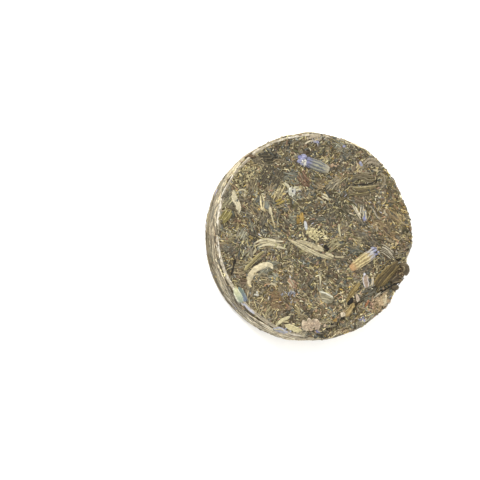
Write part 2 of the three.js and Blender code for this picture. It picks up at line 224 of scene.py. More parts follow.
def break_line(along):
    """How far out from the middle the broken edge lies, at a distance along it."""
    bow = CHIP_BOW * (np.maximum(0, 1 - (along / HALF_CHORD) ** 2) - 0.5)
    return CHIP_CHORD + bow + sum(height * np.sin(pace * along) for pace, height in BREAK_WAVES)


def beyond_break(x, y):
    """Distance beyond the broken edge, negative on the whole face."""
    out = x * math.cos(CHIP_HEADING) + y * math.sin(CHIP_HEADING)
    along = -x * math.sin(CHIP_HEADING) + y * math.cos(CHIP_HEADING)
    return out - break_line(along)


def face_height(x, y, low=None):
    """Height of the upper surface. Where low is given, it says which points lie on the flaked layer."""
    waves = 0.5 + sum(share * np.sin(a * x + b * y + phase) for a, b, phase, share in FACE_WAVES)
    whole = DISC_THICKNESS - FACE_SWELL * (1 - waves)
    beyond = beyond_break(x, y)
    if low is None:
        low = beyond > 0
    return np.where(low, whole - CHIP_STEP - CHIP_SLOPE * np.maximum(beyond, 0), whole)


def rim_line(angle, low=None):
    """Where the face meets the rounded rim: its radius and its height."""
    inner = wall_radius(angle, 1.0) - FACE_CORNER
    return inner, face_height(inner * np.cos(angle), inner * np.sin(angle), low)


def skin_stretches(angle, low=None):
    """How far it is over the skin from the middle of the face to the rim, from there round the wall to
    the flat underside, and on to its middle."""
    inner, rim = rim_line(angle, low)
    wall = TOP_ARC + rim - FACE_CORNER - FOOT_CORNER + FOOT_ARC
    return inner, wall, wall_radius(angle, 0.0) - FOOT_CORNER


def skin(angle, reach, lift, low=None):
    """A point on the cake's skin. reach is the way from the middle of the face outwards, over
    the rim, down the wall and in under the cake, and lift is the height over the skin."""
    inner, rim = rim_line(angle, low)
    wall = rim - FACE_CORNER - FOOT_CORNER
    beyond = reach - inner
    top_turn = np.clip(beyond / FACE_CORNER, 0, math.pi / 2)
    down = np.clip(beyond - TOP_ARC, 0, wall)
    foot_turn = np.clip((beyond - TOP_ARC - wall) / FOOT_CORNER, 0, math.pi / 2)
    back = np.maximum(beyond - TOP_ARC - wall - FOOT_ARC, 0)
    height = rim - FACE_CORNER * (1 - np.cos(top_turn)) - down - FOOT_CORNER * np.sin(foot_turn)
    corners = FACE_CORNER * (1 - np.sin(top_turn)) + FOOT_CORNER * (1 - np.cos(foot_turn))
    side = wall_radius(angle, height / DISC_THICKNESS) - corners - back
    tilt = top_turn + foot_turn
    flat = face_height(reach * np.cos(angle), reach * np.sin(angle), low)
    height = np.where(beyond < 0, flat, height) + lift * np.cos(tilt)
    radius = np.where(beyond < 0, reach, side) + lift * np.sin(tilt)
    return np.stack([radius * np.cos(angle), radius * np.sin(angle), height], -1)


def on_face(x, y, lift, low=None):
    """A point over the face, given by its plane coordinates."""
    return skin(np.arctan2(y, x), np.hypot(x, y), lift, low)


def on_wall(run, height, lift, low=None):
    """A point over the wall, given by its way round the disc and its height where the disc is whole."""
    angle = run / RADIUS
    inner, rim = rim_line(angle, low)
    down = (rim - FACE_CORNER) * (1 - height / (DISC_THICKNESS - FACE_CORNER))
    return skin(angle, inner + TOP_ARC + down, lift, low)


def under_face(x, y, lift, low=None):
    """A point over the underside, given by its plane coordinates as seen from below."""
    angle = np.arctan2(y, -x)
    return skin(angle, sum(skin_stretches(angle, low)) - np.hypot(x, y), lift, low)


def pressed(height):
    """Heights near the ground, and below it, squeezed together so that they stay above it."""
    return np.where(height < PRESSED_DEPTH, PRESSED_DEPTH * np.exp(height / PRESSED_DEPTH - 1), height)


# Meshes

MAP_MARGIN = 0.06  # border left free in a tube's square of the map, as a share of it


def put_in_scene(name, data):
    """A new object of a mesh, a lamp or a camera."""
    made = bpy.data.objects.new(name, data)
    bpy.context.scene.collection.objects.link(made)
    return made


def tube_faces(rows, sides):
    """Quads and end triangles of a closed tube of rows by sides points, each with where its corners
    lie on the unrolled tube. The tube's last two points are its ends."""
    quads, quad_map, tips, tip_map = [], [], [], []
    last = (rows - 1) * sides
    for side in range(sides):
        after = (side + 1) % sides
        tips += [[rows * sides, after, side], [rows * sides + 1, last + side, last + after]]
        tip_map += [
            [(0, side + 0.5), (1, side + 1), (1, side)],
            [(rows + 1, side + 0.5), (rows, side), (rows, side + 1)],
        ]
        for row in range(rows - 1):
            here, there = row * sides, (row + 1) * sides
            quads.append([here + side, here + after, there + after, there + side])
            quad_map.append([(row + 1, side), (row + 1, side + 1), (row + 2, side + 1), (row + 2, side)])
    scale = [rows + 1, sides]
    return [(np.array(quads), np.array(quad_map) / scale), (np.array(tips), np.array(tip_map) / scale)]


class Batch:
    """Closed tubes of one kind, gathered into one mesh. Each tube gets its own square of the map."""

    def __init__(self, name):
        self.name = name
        self.shapes = []
        self.values = [], [], []

    def add(self, *pairs):
        """Adds tubes by the points, tints and grains of their rings, as tubes by rows by sides by 3, each
        paired with those of their ends, as tubes by 2 by 3."""
        self.shapes.append(pairs[0][0].shape[:3])
        for kept, (rings, ends) in zip(self.values, pairs):
            kept.append(np.concatenate([rings.reshape(len(rings), -1, 3), ends], 1).reshape(-1, 3))

    def add_one(self, rings, ends, tint, end_tint, run, offset, mark):
        """One tube. Its grain is the way along it, the way across it and a mark of its own."""
        grain = np.stack([run, offset, np.full_like(run, mark)], -1)
        end_grain = np.array([[0, 0, mark], [run.max(), 0, mark]])
        pairs = (rings, ends), (tint, end_tint), (grain, end_grain)
        self.add(*((on_rings[None], on_ends[None]) for on_rings, on_ends in pairs))

    def faces_and_map(self):
        """The corners of all faces, and their places in the map."""
        across = math.ceil(math.sqrt(sum(tubes for tubes, _, _ in self.shapes)))
        faces, mapped = [], []
        first_point = first_tube = 0
        for tubes, rows, sides in self.shapes:
            number = np.arange(tubes)[:, None, None]
            cell = np.concatenate(np.divmod(first_tube + number, across)[::-1], -1)
            for loops, places in tube_faces(rows, sides):
                start = first_point + (rows * sides + 2) * number
                faces += (loops + start).reshape(-1, loops.shape[1]).tolist()
                inside = MAP_MARGIN + places.reshape(1, -1, 2) * (1 - 2 * MAP_MARGIN)
                mapped.append(((cell + inside) / across).reshape(-1, 2))
            first_point += tubes * (rows * sides + 2)
            first_tube += tubes
        return faces, np.concatenate(mapped)

    def make(self, material, slot):
        """An object of all the tubes that rides on the cake's body."""
        faces, mapped = self.faces_and_map()
        points, tint, grain = (np.concatenate(kept) for kept in self.values)
        points = (np.c_[points[:, :2], pressed(points[:, 2])] + [*SOLID_SHIFT, 0]) * MM
        mesh = bpy.data.meshes.new(self.name)
        mesh.from_pydata(points.tolist(), [], faces, shade_flat=False)
        layer = mesh.uv_layers.new(name="OFBake")
        layer.data.foreach_set("uv", mapped.astype(np.float32).ravel())
        colour = mesh.attributes.new("tint", "FLOAT_COLOR", "POINT")
        colour.data.foreach_set("color", np.c_[tint, np.ones(len(tint))].astype(np.float32).ravel())
        fibre = mesh.attributes.new("grain", "FLOAT_VECTOR", "POINT")
        fibre.data.foreach_set("vector", grain.astype(np.float32).ravel())
        mesh.materials.append(material)
        piece = put_in_scene(self.name, mesh)
        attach(piece, BODY)
        return piece


# Node materials


class Nodes:
    """A material's node tree, with short calls for the nodes used here."""

    def __init__(self, name):
        self.material = bpy.data.materials.new(name)
        self.material.use_nodes = True
        self.tree = self.material.node_tree
        self.shader = self.tree.nodes["Principled BSDF"]

    def node(self, kind, settings=None, **inputs):
        """A new node, with its settings, and its inputs by name."""
        made = self.tree.nodes.new(kind)
        for key, value in (settings or {}).items():
            setattr(made, key, value)
        for key, value in inputs.items():
            self.put(made.inputs[key], value)
        return made

    def put(self, socket, value):
        """Links a socket to another one, or sets its own value."""
        if isinstance(value, bpy.types.NodeSocket):
            self.tree.links.new(value, socket)
        else:
            socket.default_value = value

    def attribute(self, name, output):
        return self.node("ShaderNodeAttribute", {"attribute_name": name}).outputs[output]

    def place(self):
        return self.node("ShaderNodeTexCoord").outputs["Object"]

    def noise(self, vector, scale, detail=3.0, roughness=0.55, distortion=0.0):
        settings = dict(Scale=scale, Detail=detail, Roughness=roughness, Distortion=distortion)
        return self.node("ShaderNodeTexNoise", Vector=vector, **settings).outputs["Fac"]

    def spread(self, value, to_low, to_high, low=0.3, high=0.7):
        """A pattern's values from low to high, stretched to other ones."""
        made = self.node("ShaderNodeMapRange", Value=value)
        for socket, number in zip(list(made.inputs)[1:5], (low, high, to_low, to_high)):
            socket.default_value = number
        return made.outputs["Result"]

    def scaled(self, vector, scale):
        return self.node("ShaderNodeMapping", Vector=vector, Scale=scale).outputs["Vector"]

    def math(self, operation, first, second):
        made = self.node("ShaderNodeMath", {"operation": operation})
        self.put(made.inputs[0], first)
        self.put(made.inputs[1], second)
        return made.outputs[0]

    def mix(self, share, first, second):
        made = self.node("ShaderNodeMix", {"data_type": "RGBA"})
        for place, value in ((0, share), (6, first), (7, second)):
            self.put(made.inputs[place], value)
        return made.outputs[2]

    def shade(self, colour, factor):
        """A colour times a number."""
        made = self.node("ShaderNodeVectorMath", {"operation": "SCALE"}, Scale=factor)
        self.put(made.inputs[0], colour)
        return made.outputs[0]

    def finish(self, colour, roughness, height, depth, sheen=0.0, specular=0.25):
        """Sets the shader. height is the relief's pattern, and depth its depth in metres."""
        bump = self.node("ShaderNodeBump", Height=height, Distance=depth)
        self.put(self.shader.inputs["Base Color"], colour)
        self.put(self.shader.inputs["Roughness"], roughness)
        self.put(self.shader.inputs["Normal"], bump.outputs["Normal"])
        self.shader.inputs["Sheen Weight"].default_value = sheen
        self.shader.inputs["Specular IOR Level"].default_value = specular
        return self.material


CORE_BROWN = (0.07, 0.055, 0.03, 1)
# Depth of the relief in the materials, in metres
CORE_BUMP = 0.00015
SHRED_BUMP = 0.00018
FLOOR_BUMP = 0.00002


def core_material():
    """Pressed leaf dust between the shreds: mottled dark olive and brown."""
    n = Nodes("pressed_leaf_core")
    blotch = n.noise(n.place(), 420, detail=4, distortion=0.6)
    fine = n.noise(n.place(), 3600, detail=3, roughness=0.6, distortion=1.2)
    colour = n.mix(n.spread(blotch, 0, 1, 0.38, 0.62), n.attribute("tint", "Color"), CORE_BROWN)
    colour = n.shade(colour, n.spread(fine, 0.55, 1.5))
    return n.finish(colour, n.spread(fine, 0.95, 0.75), fine, CORE_BUMP)


def shred_material(name, streak, rough_low, rough_high, sheen):
    """Dry leaf or fibre: the shred's own tint, streaked along its length."""
    n = Nodes(name)
    along = n.noise(n.scaled(n.attribute("grain", "Vector"), (0.8, 4.5, 1.0)), 1.0, detail=4, roughness=0.65)
    fine = n.noise(n.place(), 5200, detail=2)
    colour = n.shade(n.attribute("tint", "Color"), n.spread(along, 1 - streak, 1 + streak))
    colour = n.shade(colour, n.spread(fine, 0.85, 1.15))
    height = n.math("ADD", along, n.math("MULTIPLY", fine, 0.5))
    return n.finish(colour, n.spread(along, rough_high, rough_low), height, SHRED_BUMP, sheen)


KINDS = {
    # kind: streak, roughness from and to, sheen, slot
    "dark_leaf": (0.42, 0.6, 0.85, 0.0, "pressed_leaf"),
    "mid_leaf": (0.38, 0.6, 0.85, 0.0, "pressed_leaf"),
    "pale_bits": (0.25, 0.7, 0.9, 0.0, "pale_fibre"),
    "threads": (0.25, 0.6, 0.9, 0.0, "pale_fibre"),
    "wall_fibres": (0.22, 0.45, 0.8, 0.0, "pale_fibre"),
    "split_leaves": (0.4, 0.55, 0.85, 0.0, "pressed_leaf"),
    "leaf_pieces": (0.35, 0.6, 0.85, 0.0, "pressed_leaf"),
    "pale_pieces": (0.22, 0.7, 0.9, 0.05, "pale_fibre"),
    "petals": (0.2, 0.75, 0.95, 0.15, "lavender_petal"),
    "buds": (0.2, 0.8, 0.95, 0.25, "lavender_bud"),
}


# Shreds


def region_tone(x, y):
    """Factors for red, green and blue at places on the face, with painted shadow along the crack under the
    break.
    """
    tone = np.ones((*np.shape(x), 3))
    for middle_x, middle_y, radius, factors in REGIONS:
        near = np.exp(-((x - middle_x) ** 2 + (y - middle_y) ** 2) / radius**2)
        tone += near[..., None] * (np.array(factors) - 1)
    # painted shadow in the crack under the break darkens the tone there
    crack = np.clip(1 - np.abs(beyond_break(x, y) - CRACK_OFFSET) / CRACK_REACH, 0, 1)
    patchy = 1 + layered(on_plane(x, y), FACE_PATCHES, SEED + 6)
    return tone * (patchy * (1 - CRACK_SHADE * crack))[..., None]


# Corners of a shred's section, in half widths and half thicknesses, and the painted shade of each: the upper
# corners lighter, the side ones darker and the lower one darkest, as light falls from above
SECTION = np.array([(1, 0), (0.42, 1), (-0.42, 1), (-1, 0), (0, -0.9)])
SECTION_PAINTED_SHADE = np.array([0.92, 1.06, 1.06, 0.92, 0.7])[:, None]

# How uneven shreds are: their turn, the width and height of their corners, how they lean to a side,
# how they rise and fall, and their tone
WOBBLE = (0.05, 0.35)
CORNER_WIDTH = (0.72, 1.2)
CORNER_HEIGHT = (0.35, 1.25)
LEAN = 0.16
RIPPLE = 0.04
ROW_TONE = (0.82, 1.18)
END_PAINTED_SHADE = 0.9  # painted shade on a shred's ends, where they are tucked into the surface
TIP_SINK = 0.05  # how far the ends of a piece are tucked in


def add_shreds(batch, rng, place, spots, heading, sizes, tint, bend, lift, rows=3, low=None):
    """Adds a shred at each spot: a ragged, crinkled strip with a flat lens for a section. sizes are
    its length, width and thickness."""
    x, y = spots
    length, width, thick = sizes
    count = len(x)
    share = np.linspace(-0.5, 0.5, rows + 2)[None]
    wobble = rng.uniform(*WOBBLE, (count, 1)) * np.sin(2 * math.pi * (share + rng.random((count, 1))))
    turn = heading[:, None] + 2 * bend[:, None] * share + wobble
    step = length[:, None] / (rows + 1)
    middle_x = np.cumsum(np.cos(turn) * step, 1)
    middle_y = np.cumsum(np.sin(turn) * step, 1)
    middle_x += x[:, None] - middle_x.mean(1, keepdims=True)
    middle_y += y[:, None] - middle_y.mean(1, keepdims=True)
    across = SECTION[:, 0] * rng.uniform(*CORNER_WIDTH, (count, rows, len(SECTION)))
    crinkle = SECTION[:, 1] * rng.uniform(*CORNER_HEIGHT, (count, rows, len(SECTION)))
    taper = np.sin(math.pi * (share[:, 1:-1] + 0.5)) ** 0.45
    offset = across * width[:, None, None] / 2 * taper[..., None]
    lean = rng.normal(0, LEAN, (count, 1, 1))
    ripple = rng.uniform(-1, 1, (count, rows, 1)) * RIPPLE
    height = lift[:, None, None] + ripple + lean * offset + crinkle * thick[:, None, None] / 2
    low_rings, low_ends = (None, None) if low is None else (low[:, None, None], low[:, None])
    inner = (values[:, 1:-1, None] for values in (middle_x, middle_y, turn))
    rings = place(*moved(*inner, offset), height, low_rings)
    tips = slice(None, None, rows + 1)
    end_lift = np.repeat(lift[:, None] - TIP_SINK, 2, 1)
    ends = place(middle_x[:, tips], middle_y[:, tips], end_lift, low_ends)
    # painted shade: each corner's tint is lightened or darkened by the way it faces
    ring_tint = tint[:, None, None] * SECTION_PAINTED_SHADE * rng.uniform(*ROW_TONE, (count, rows, 1, 1))
    mark = rng.uniform(0, 300, (count, 1, 1))
    run = share[..., None] * length[:, None, None]
    grain = np.stack(np.broadcast_arrays(run[:, 1:-1], offset, mark), -1)
    end_grain = np.stack(np.broadcast_arrays(run[:, tips, 0], 0.0, mark[..., 0]), -1)
    # the tucked-in ends get painted shade
    end_tint = np.repeat(tint[:, None] * END_PAINTED_SHADE, 2, 1)
    batch.add((rings, ends), (ring_tint, end_tint), (grain, end_grain))


def picked_tints(rng, count, palette, spread):
    """Random colours of a palette, each a little lighter or darker."""
    colours = np.array([linear(code) for code, _ in palette])
    weights = np.array([weight for _, weight in palette], float)
    pick = rng.choice(len(palette), count, p=weights / weights.sum())
    level = np.exp(rng.normal(0, spread, (count, 1)))
    warmth = rng.normal(0, 0.03, (count, 1)) * [1, 0, -1]
    return colours[pick] * level * (1 + warmth) * SHADED_SHARE


# Palettes: each colour with its weight in the draw
DARK_LEAF = [("#4c483c", 4), ("#575143", 3), ("#584b3b", 3), ("#615a47", 2), ("#4d4e47", 3), ("#535038", 1)]
MID_LEAF = [("#736b57", 4), ("#7f7660", 3), ("#71624f", 3), ("#7c7555", 2), ("#6c6b62", 3), ("#826b56", 2)]
PALE_BITS = [("#b0a57e", 5), ("#a1977a", 5), ("#c0b48a", 3), ("#a9955c", 2.5), ("#cfc8aa", 2),
             ("#9b9aa0", 0.5), ("#9f8443", 1)]
THREADS = [("#a0946d", 4), ("#8c8063", 4), ("#b4a980", 3), ("#84764f", 2)]
FIBRES = [("#a99e86", 4), ("#988d76", 4), ("#c0b598", 3), ("#857a66", 3), ("#d4c9ac", 1.5), ("#665e4e", 3)]
RIM_TONES = ["#b3a993", "#c4bba8", "#a0967f", "#d6cfbf", "#958b77"]
LEAF_TONES = [("#5c574a", 3), ("#6a6453", 3), ("#544d3f", 3), ("#75684f", 2), ("#6b6a5c", 2), ("#7c7356", 1)]

LAYERS = [
    # name, palette, spread, count per square mm on face, wall and underside, length, width, thickness,
    # bend, rows, lift
    ("dark_leaf", DARK_LEAF, 0.16, (2.0, 0.8, 1.1), (0.7, 2.3), (0.3, 0.85), 0.14, 0.5, 3, 0.0),
    ("mid_leaf", MID_LEAF, 0.2, (2.3, 0.5, 1.2), (0.5, 1.6), (0.2, 0.46), 0.14, 0.8, 3, 0.02),
    ("pale_bits", PALE_BITS, 0.2, (2.5, 0.2, 1.3), (0.3, 1.15), (0.08, 0.24), 0.12, 0.45, 3, 0.03),
    ("threads", THREADS, 0.18, (0.8, 0.0, 0.2), (0.8, 2.6), (0.09, 0.17), 0.12, 0.6, 5, 0.04),
    ("wall_fibres", FIBRES, 0.24, (0.0, 1.3, 0.0), (3.0, 11.0), (0.14, 0.55), 0.14, 0.0, 9, 0.03),
]

SIDES = {
    # side: function, area in square mm, spread of headings, tone of the leaf
    "face": (on_face, math.pi * RADIUS**2, 0.7, 1.0),
    "wall": (on_wall, 2 * math.pi * RADIUS * DISC_THICKNESS, 0.08, 1.45),
    "underside": (under_face, math.pi * RADIUS**2, 0.8, 1.15),
}


FACE_BORDER = 0.1  # how far from the edges the middles of the shreds stay
WALL_BORDER = 0.35
SMALLNESS = 1.6  # the higher, the more of the shreds are short and narrow


def flow(x, y):
    """Heading of the leaf at a place on a flat side. On the flaked layer it runs along the break."""
    loose = layered(on_plane(x, y), LEAF_FLOW, SEED + 1)
    return np.where(beyond_break(x, y) > 0, CHIP_HEADING + math.pi / 2 + 0.2 * loose, loose)


def scattered(rng, side, count):
    """Random places on a side, with the heading of the leaf there, its tone and whether it is low."""
    first, second = rng.random((2, count))
    if side == "wall":
        run = first * 2 * math.pi * RADIUS
        height = WALL_BORDER + second * (DISC_THICKNESS - 2 * WALL_BORDER)
        tone = np.ones((count, 3))
        # the stretch turned away from the key lamp gets painted light
        for (middle, spread, change), share in ((LOW_WALL_DARKENING, 1 - smoothstep(*LOW_WALL_DARKENING_TOP, height)), (WALL_PAINTED_LIGHT, 1)):
            near = np.exp(-(((np.degrees(run / RADIUS) - middle) / spread) ** 2)) * share
            tone += near[:, None] * change
        return (run, height), np.zeros(count), tone, None
    reach = np.sqrt(first) * (RADIUS - (FACE_BORDER if side == "face" else FOOT_CORNER))
    x, y = reach * np.cos(2 * math.pi * second), reach * np.sin(2 * math.pi * second)
    if side == "underside":
        return (x, y), flow(x, y), np.ones((count, 3)), None
    return (x, y), flow(x, y), region_tone(x, y), beyond_break(x, y) > 0


def scatter_shreds(batches):
    """The shreds of every layer, on every side. The wall's fibres have their own tone already."""
    for number, (name, palette, spread, counts, length, width, thick, bend, rows, lift) in enumerate(LAYERS):
        for order, (side, (place, area, stray, level)) in enumerate(SIDES.items()):
            rng = np.random.default_rng(SEED + 10 * number + order)
            count = int(area * counts[order])
            if not count:
                continue
            if name == "wall_fibres":
                level = 1.0
            spots, heading, tone, low = scattered(rng, side, count)
            if name in ("pale_bits", "threads"):
                tone = np.maximum(tone, 0) ** PALE_SHARE
            heading = heading + rng.normal(0, stray, count)
            long, wide = rng.random((2, count)) ** SMALLNESS
            sizes = (
                length[0] + (length[1] - length[0]) * long,
                width[0] + (width[1] - width[0]) * wide,
                thick * rng.uniform(0.7, 1.3, count),
            )
            tint = picked_tints(rng, count, palette, spread) * tone * level
            bends = rng.normal(0, bend, count) * (side != "wall")
            lifts = lift + rng.exponential(0.04, count)
            add_shreds(batches[name], rng, place, spots, heading, sizes, tint, bends, lifts, rows, low)


SPLIT_LEAVES = {"face": 120, "wall": 50, "underside": 60}


def split_leaves(batch):
    """Leaves pressed flat among the shreds and split along their veins: strips side by side."""
    for side, count in SPLIT_LEAVES.items():
        place, _, stray, level = SIDES[side]
        rng = np.random.default_rng(SEED + 90 + count)
        (x, y), heading, tone, low = scattered(rng, side, count)
        strips = rng.integers(3, 9, count)
        leaf = np.repeat(np.arange(count), strips)
        order = np.arange(len(leaf)) - np.repeat(np.cumsum(strips) - strips, strips)
        off = (order - (strips[leaf] - 1) / 2) / strips[leaf]
        pitch = rng.uniform(0.22, 0.32, count)
        across = off * (strips * pitch)[leaf] + rng.normal(0, 0.03, len(leaf))
        along = rng.normal(0, 0.25, len(leaf))
        turn = (heading + rng.normal(0, stray / 2, count))[leaf]
        bow = rng.normal(0, 0.25, count)[leaf]
        spots = moved(x[leaf], y[leaf], turn, across, along)
        sizes = (
            rng.uniform(1.8, 5.5, count)[leaf] * np.sqrt(1 - 3 * off**2),
            pitch[leaf] * rng.uniform(0.8, 1.5, len(leaf)),
            np.full(len(leaf), 0.16),
        )
        turn = turn + rng.normal(0, 0.04, len(leaf))
        tint = (picked_tints(rng, count, LEAF_TONES, 0.1) * tone * level)[leaf]
        tint = tint * np.exp(rng.normal(0, 0.22, (len(leaf), 1)))
        lift = 0.05 + rng.uniform(0, 0.05, count)[leaf]
        low = None if low is None else low[leaf]
        add_shreds(batch, rng, place, spots, turn, sizes, tint, bow, lift, 6, low)


CLUSTERS = [
    # batch, x, y, spread across and up, count, length, width, colour, lift
    ("pale_bits", -0.1, 0.1, 1.2, 0.6, 84, 0.8, 0.31, "#d4c89a", 0.15),
    ("pale_bits", -14.1, 11.3, 1.5, 1.0, 64, 0.9, 0.28, "#bdb289", 0.08),
    ("pale_bits", 14.0, -12.8, 1.0, 0.8, 64, 0.8, 0.3, "#c3ab8a", 0.26),
    ("pale_bits", 11.3, -13.2, 0.5, 0.6, 18, 0.6, 0.26, "#bd9d84", 0.16),
    ("pale_bits", -5.0, -9.4, 0.6, 0.5, 14, 0.8, 0.3, "#ab9078", 0.1),
    ("petals", -5.6, -11.4, 0.8, 0.4, 12, 0.7, 0.26, "#97989f", 0.1),
    ("petals", -4.9, -12.2, 0.3, 0.8, 8, 0.6, 0.26, "#a8a5a4", 0.1),
    ("petals", -2.8, 14.6, 0.45, 0.45, 18, 0.8, 0.34, "#9fa0bc", 0.24),
    ("petals", -2.3, 13.9, 0.2, 0.4, 7, 0.7, 0.3, "#dcd9ce", 0.34),
    ("petals", -4.7, 8.3, 0.6, 0.5, 14, 0.8, 0.34, "#c8c5b0", 0.16),
    ("petals", 12.2, -2.9, 0.4, 0.4, 10, 0.7, 0.28, "#b2b2c0", 0.2),
    ("pale_bits", -17.2, 0.4, 0.5, 1.0, 9, 0.5, 0.24, "#c8c2b0", 0.08),
    ("pale_bits", 0.2, 19.0, 1.6, 0.25, 18, 0.9, 0.3, "#b8a98c", 0.08),
    ("petals", 0.2, 18.4, 0.9, 0.35, 14, 0.7, 0.22, "#b9b2aa", 0.1),
    ("pale_bits", 3.6, 13.8, 0.7, 0.3, 12, 0.7, 0.3, "#b59e80", 0.12),
    ("pale_bits", 4.2, 11.6, 0.7, 0.3, 10, 0.8, 0.3, "#a08a58", 0.08),
    ("pale_bits", 12.4, 14.2, 0.9, 0.6, 20, 0.9, 0.22, "#aca084", 0.1),
    ("pale_bits", 2.2, 7.2, 0.8, 0.4, 10, 0.8, 0.24, "#c6bc9c", 0.08),
    ("pale_bits", -1.0, -17.6, 1.2, 0.6, 26, 0.7, 0.34, "#c2ad94", 0.26),
    ("mid_leaf", 17.6, -7.2, 0.7, 0.9, 26, 0.7, 0.4, "#665540", 0.5),
    ("pale_bits", 17.6, -7.2, 0.7, 1.0, 16, 0.6, 0.24, "#9a8866", 0.55),
    ("petals", -7.0, -18.6, 0.9, 0.25, 10, 0.8, 0.3, "#a9aab8", 0.12),
    ("petals", 0.1, -18.7, 0.35, 0.15, 5, 0.5, 0.3, "#8d8bb0", 0.12),
    ("petals", 9.9, -16.2, 0.5, 0.15, 5, 0.5, 0.26, "#8e8cb0", 0.08),
]


def crumb_clusters(batches):
    """Places where many small bits of one kind lie together."""
    for number, (name, x, y, wide, high, count, length, width, colour, lift) in enumerate(CLUSTERS):
        rng = np.random.default_rng(SEED + 200 + number)
        x, y = x + rng.normal(0, wide, count), y + rng.normal(0, high, count)
        heading = rng.uniform(0, math.pi, count)
        sizes = (
            length * rng.uniform(0.5, 1.4, count),
            width * rng.uniform(0.6, 1.5, count),
            rng.uniform(0.1, 0.2, count),
        )
        tint = linear(colour) * OPEN_SHARE * np.exp(rng.normal(0, 0.16, (count, 1)))
        bend = rng.normal(0, 1.2, count)
        lifts = lift + rng.exponential(0.05, count)
        low = beyond_break(x, y) > 0
        add_shreds(batches[name], rng, on_face, (x, y), heading, sizes, tint, bend, lifts, low=low)


# Ribbons: leaves, petals and stems that can be told apart

CURVE_STEPS = 24  # places worked out between two points of a route
ROW_PITCH = 0.17  # between two points along a ribbon
SIDE_PITCH = 0.075  # and between two round it
RIBBON_THICKNESS = 0.14
LEAST_OFFSET = 0.03  # half the width of a ribbon where it is narrowest
RIBBON_TIP = -0.06  # height of its ends over the skin
LINE_RISE = 0.05  # of the fine lines over their piece
LOWER_PAINTED_SHADE = 0.7  # painted shade on a ribbon's lower face


def smooth_route(route, count):
    """Evenly spaced places along a smooth curve through the points of a route, the headings there, and
    the whole length."""
    knots = np.array(route, float)
    knots = np.concatenate([[2 * knots[0] - knots[1]], knots, [2 * knots[-1] - knots[-2]]])
    t = np.linspace(0, 1, CURVE_STEPS, endpoint=False)[:, None]
    parts = []
    for a, b, c, d in zip(knots, knots[1:], knots[2:], knots[3:]):
        bend = (2 * a - 5 * b + 4 * c - d) * t**2 + (3 * b - a - 3 * c + d) * t**3
        parts.append(0.5 * (2 * b + (c - a) * t + bend))
    line = np.concatenate([*parts, knots[-2:-1]])
    run = np.concatenate([[0], np.cumsum(np.linalg.norm(np.diff(line, axis=0), axis=1))])
    even = np.linspace(0, run[-1], count)
    spots = np.stack([np.interp(even, run, line[:, 0]), np.interp(even, run, line[:, 1])], -1)
    slope = np.gradient(spots, axis=0)
    return spots, np.arctan2(slope[:, 1], slope[:, 0]), run[-1]


def shortened(path, rng, least, most):
    """The path with each end drawn in by a random share of its last stretch."""
    for end, near in ((0, 1), (-1, -2)):
        path[end] += (path[near] - path[end]) * rng.uniform(least, most)
    return path


def fray(batch, route, width, tint, seed, strands=1, lines=0, line_tint="#d0c6a4", **form):
    """Adds a piece as one ribbon, or frayed into several along nearly the same route, with fine raised
    lines along it where lines is given."""
    rng = np.random.default_rng(seed)
    knots = np.array(route, float)
    slope = np.gradient(knots, axis=0)
    side = np.stack([-slope[:, 1], slope[:, 0]], -1) / np.linalg.norm(slope, axis=1)[:, None]
    for number in range(strands):
        path = knots
        if strands > 1:
            path = knots + side * ((number + 0.5) / strands - 0.5) * width + rng.normal(0, 0.09, knots.shape)
            path = shortened(path, rng, -0.15, 0.4)
        share = 1 if strands == 1 else 1.2 / strands
        tone = 1 + rng.normal(0, 0.12) * (strands > 1)
        ribbon(batch, path, width * share, tint, tone=tone, seed=seed + 37 * number, **form)
    lift = form["lift"] + form.get("thick", RIBBON_THICKNESS) / 2 + LINE_RISE
    for number in range(lines):
        off = ((number + rng.uniform(0.1, 0.9)) / lines - 0.5) * width
        path = shortened(knots + side * off + rng.normal(0, 0.12, knots.shape), rng, 0, 0.4)
        fine = {key: form[key] for key in ("low", "place") if key in form}
        fine.update(tone=rng.uniform(0.75, 1.15), lift=lift, seed=seed + 91 * number)
        ribbon(batch, path, rng.uniform(0.12, 0.24), line_tint, **fine)


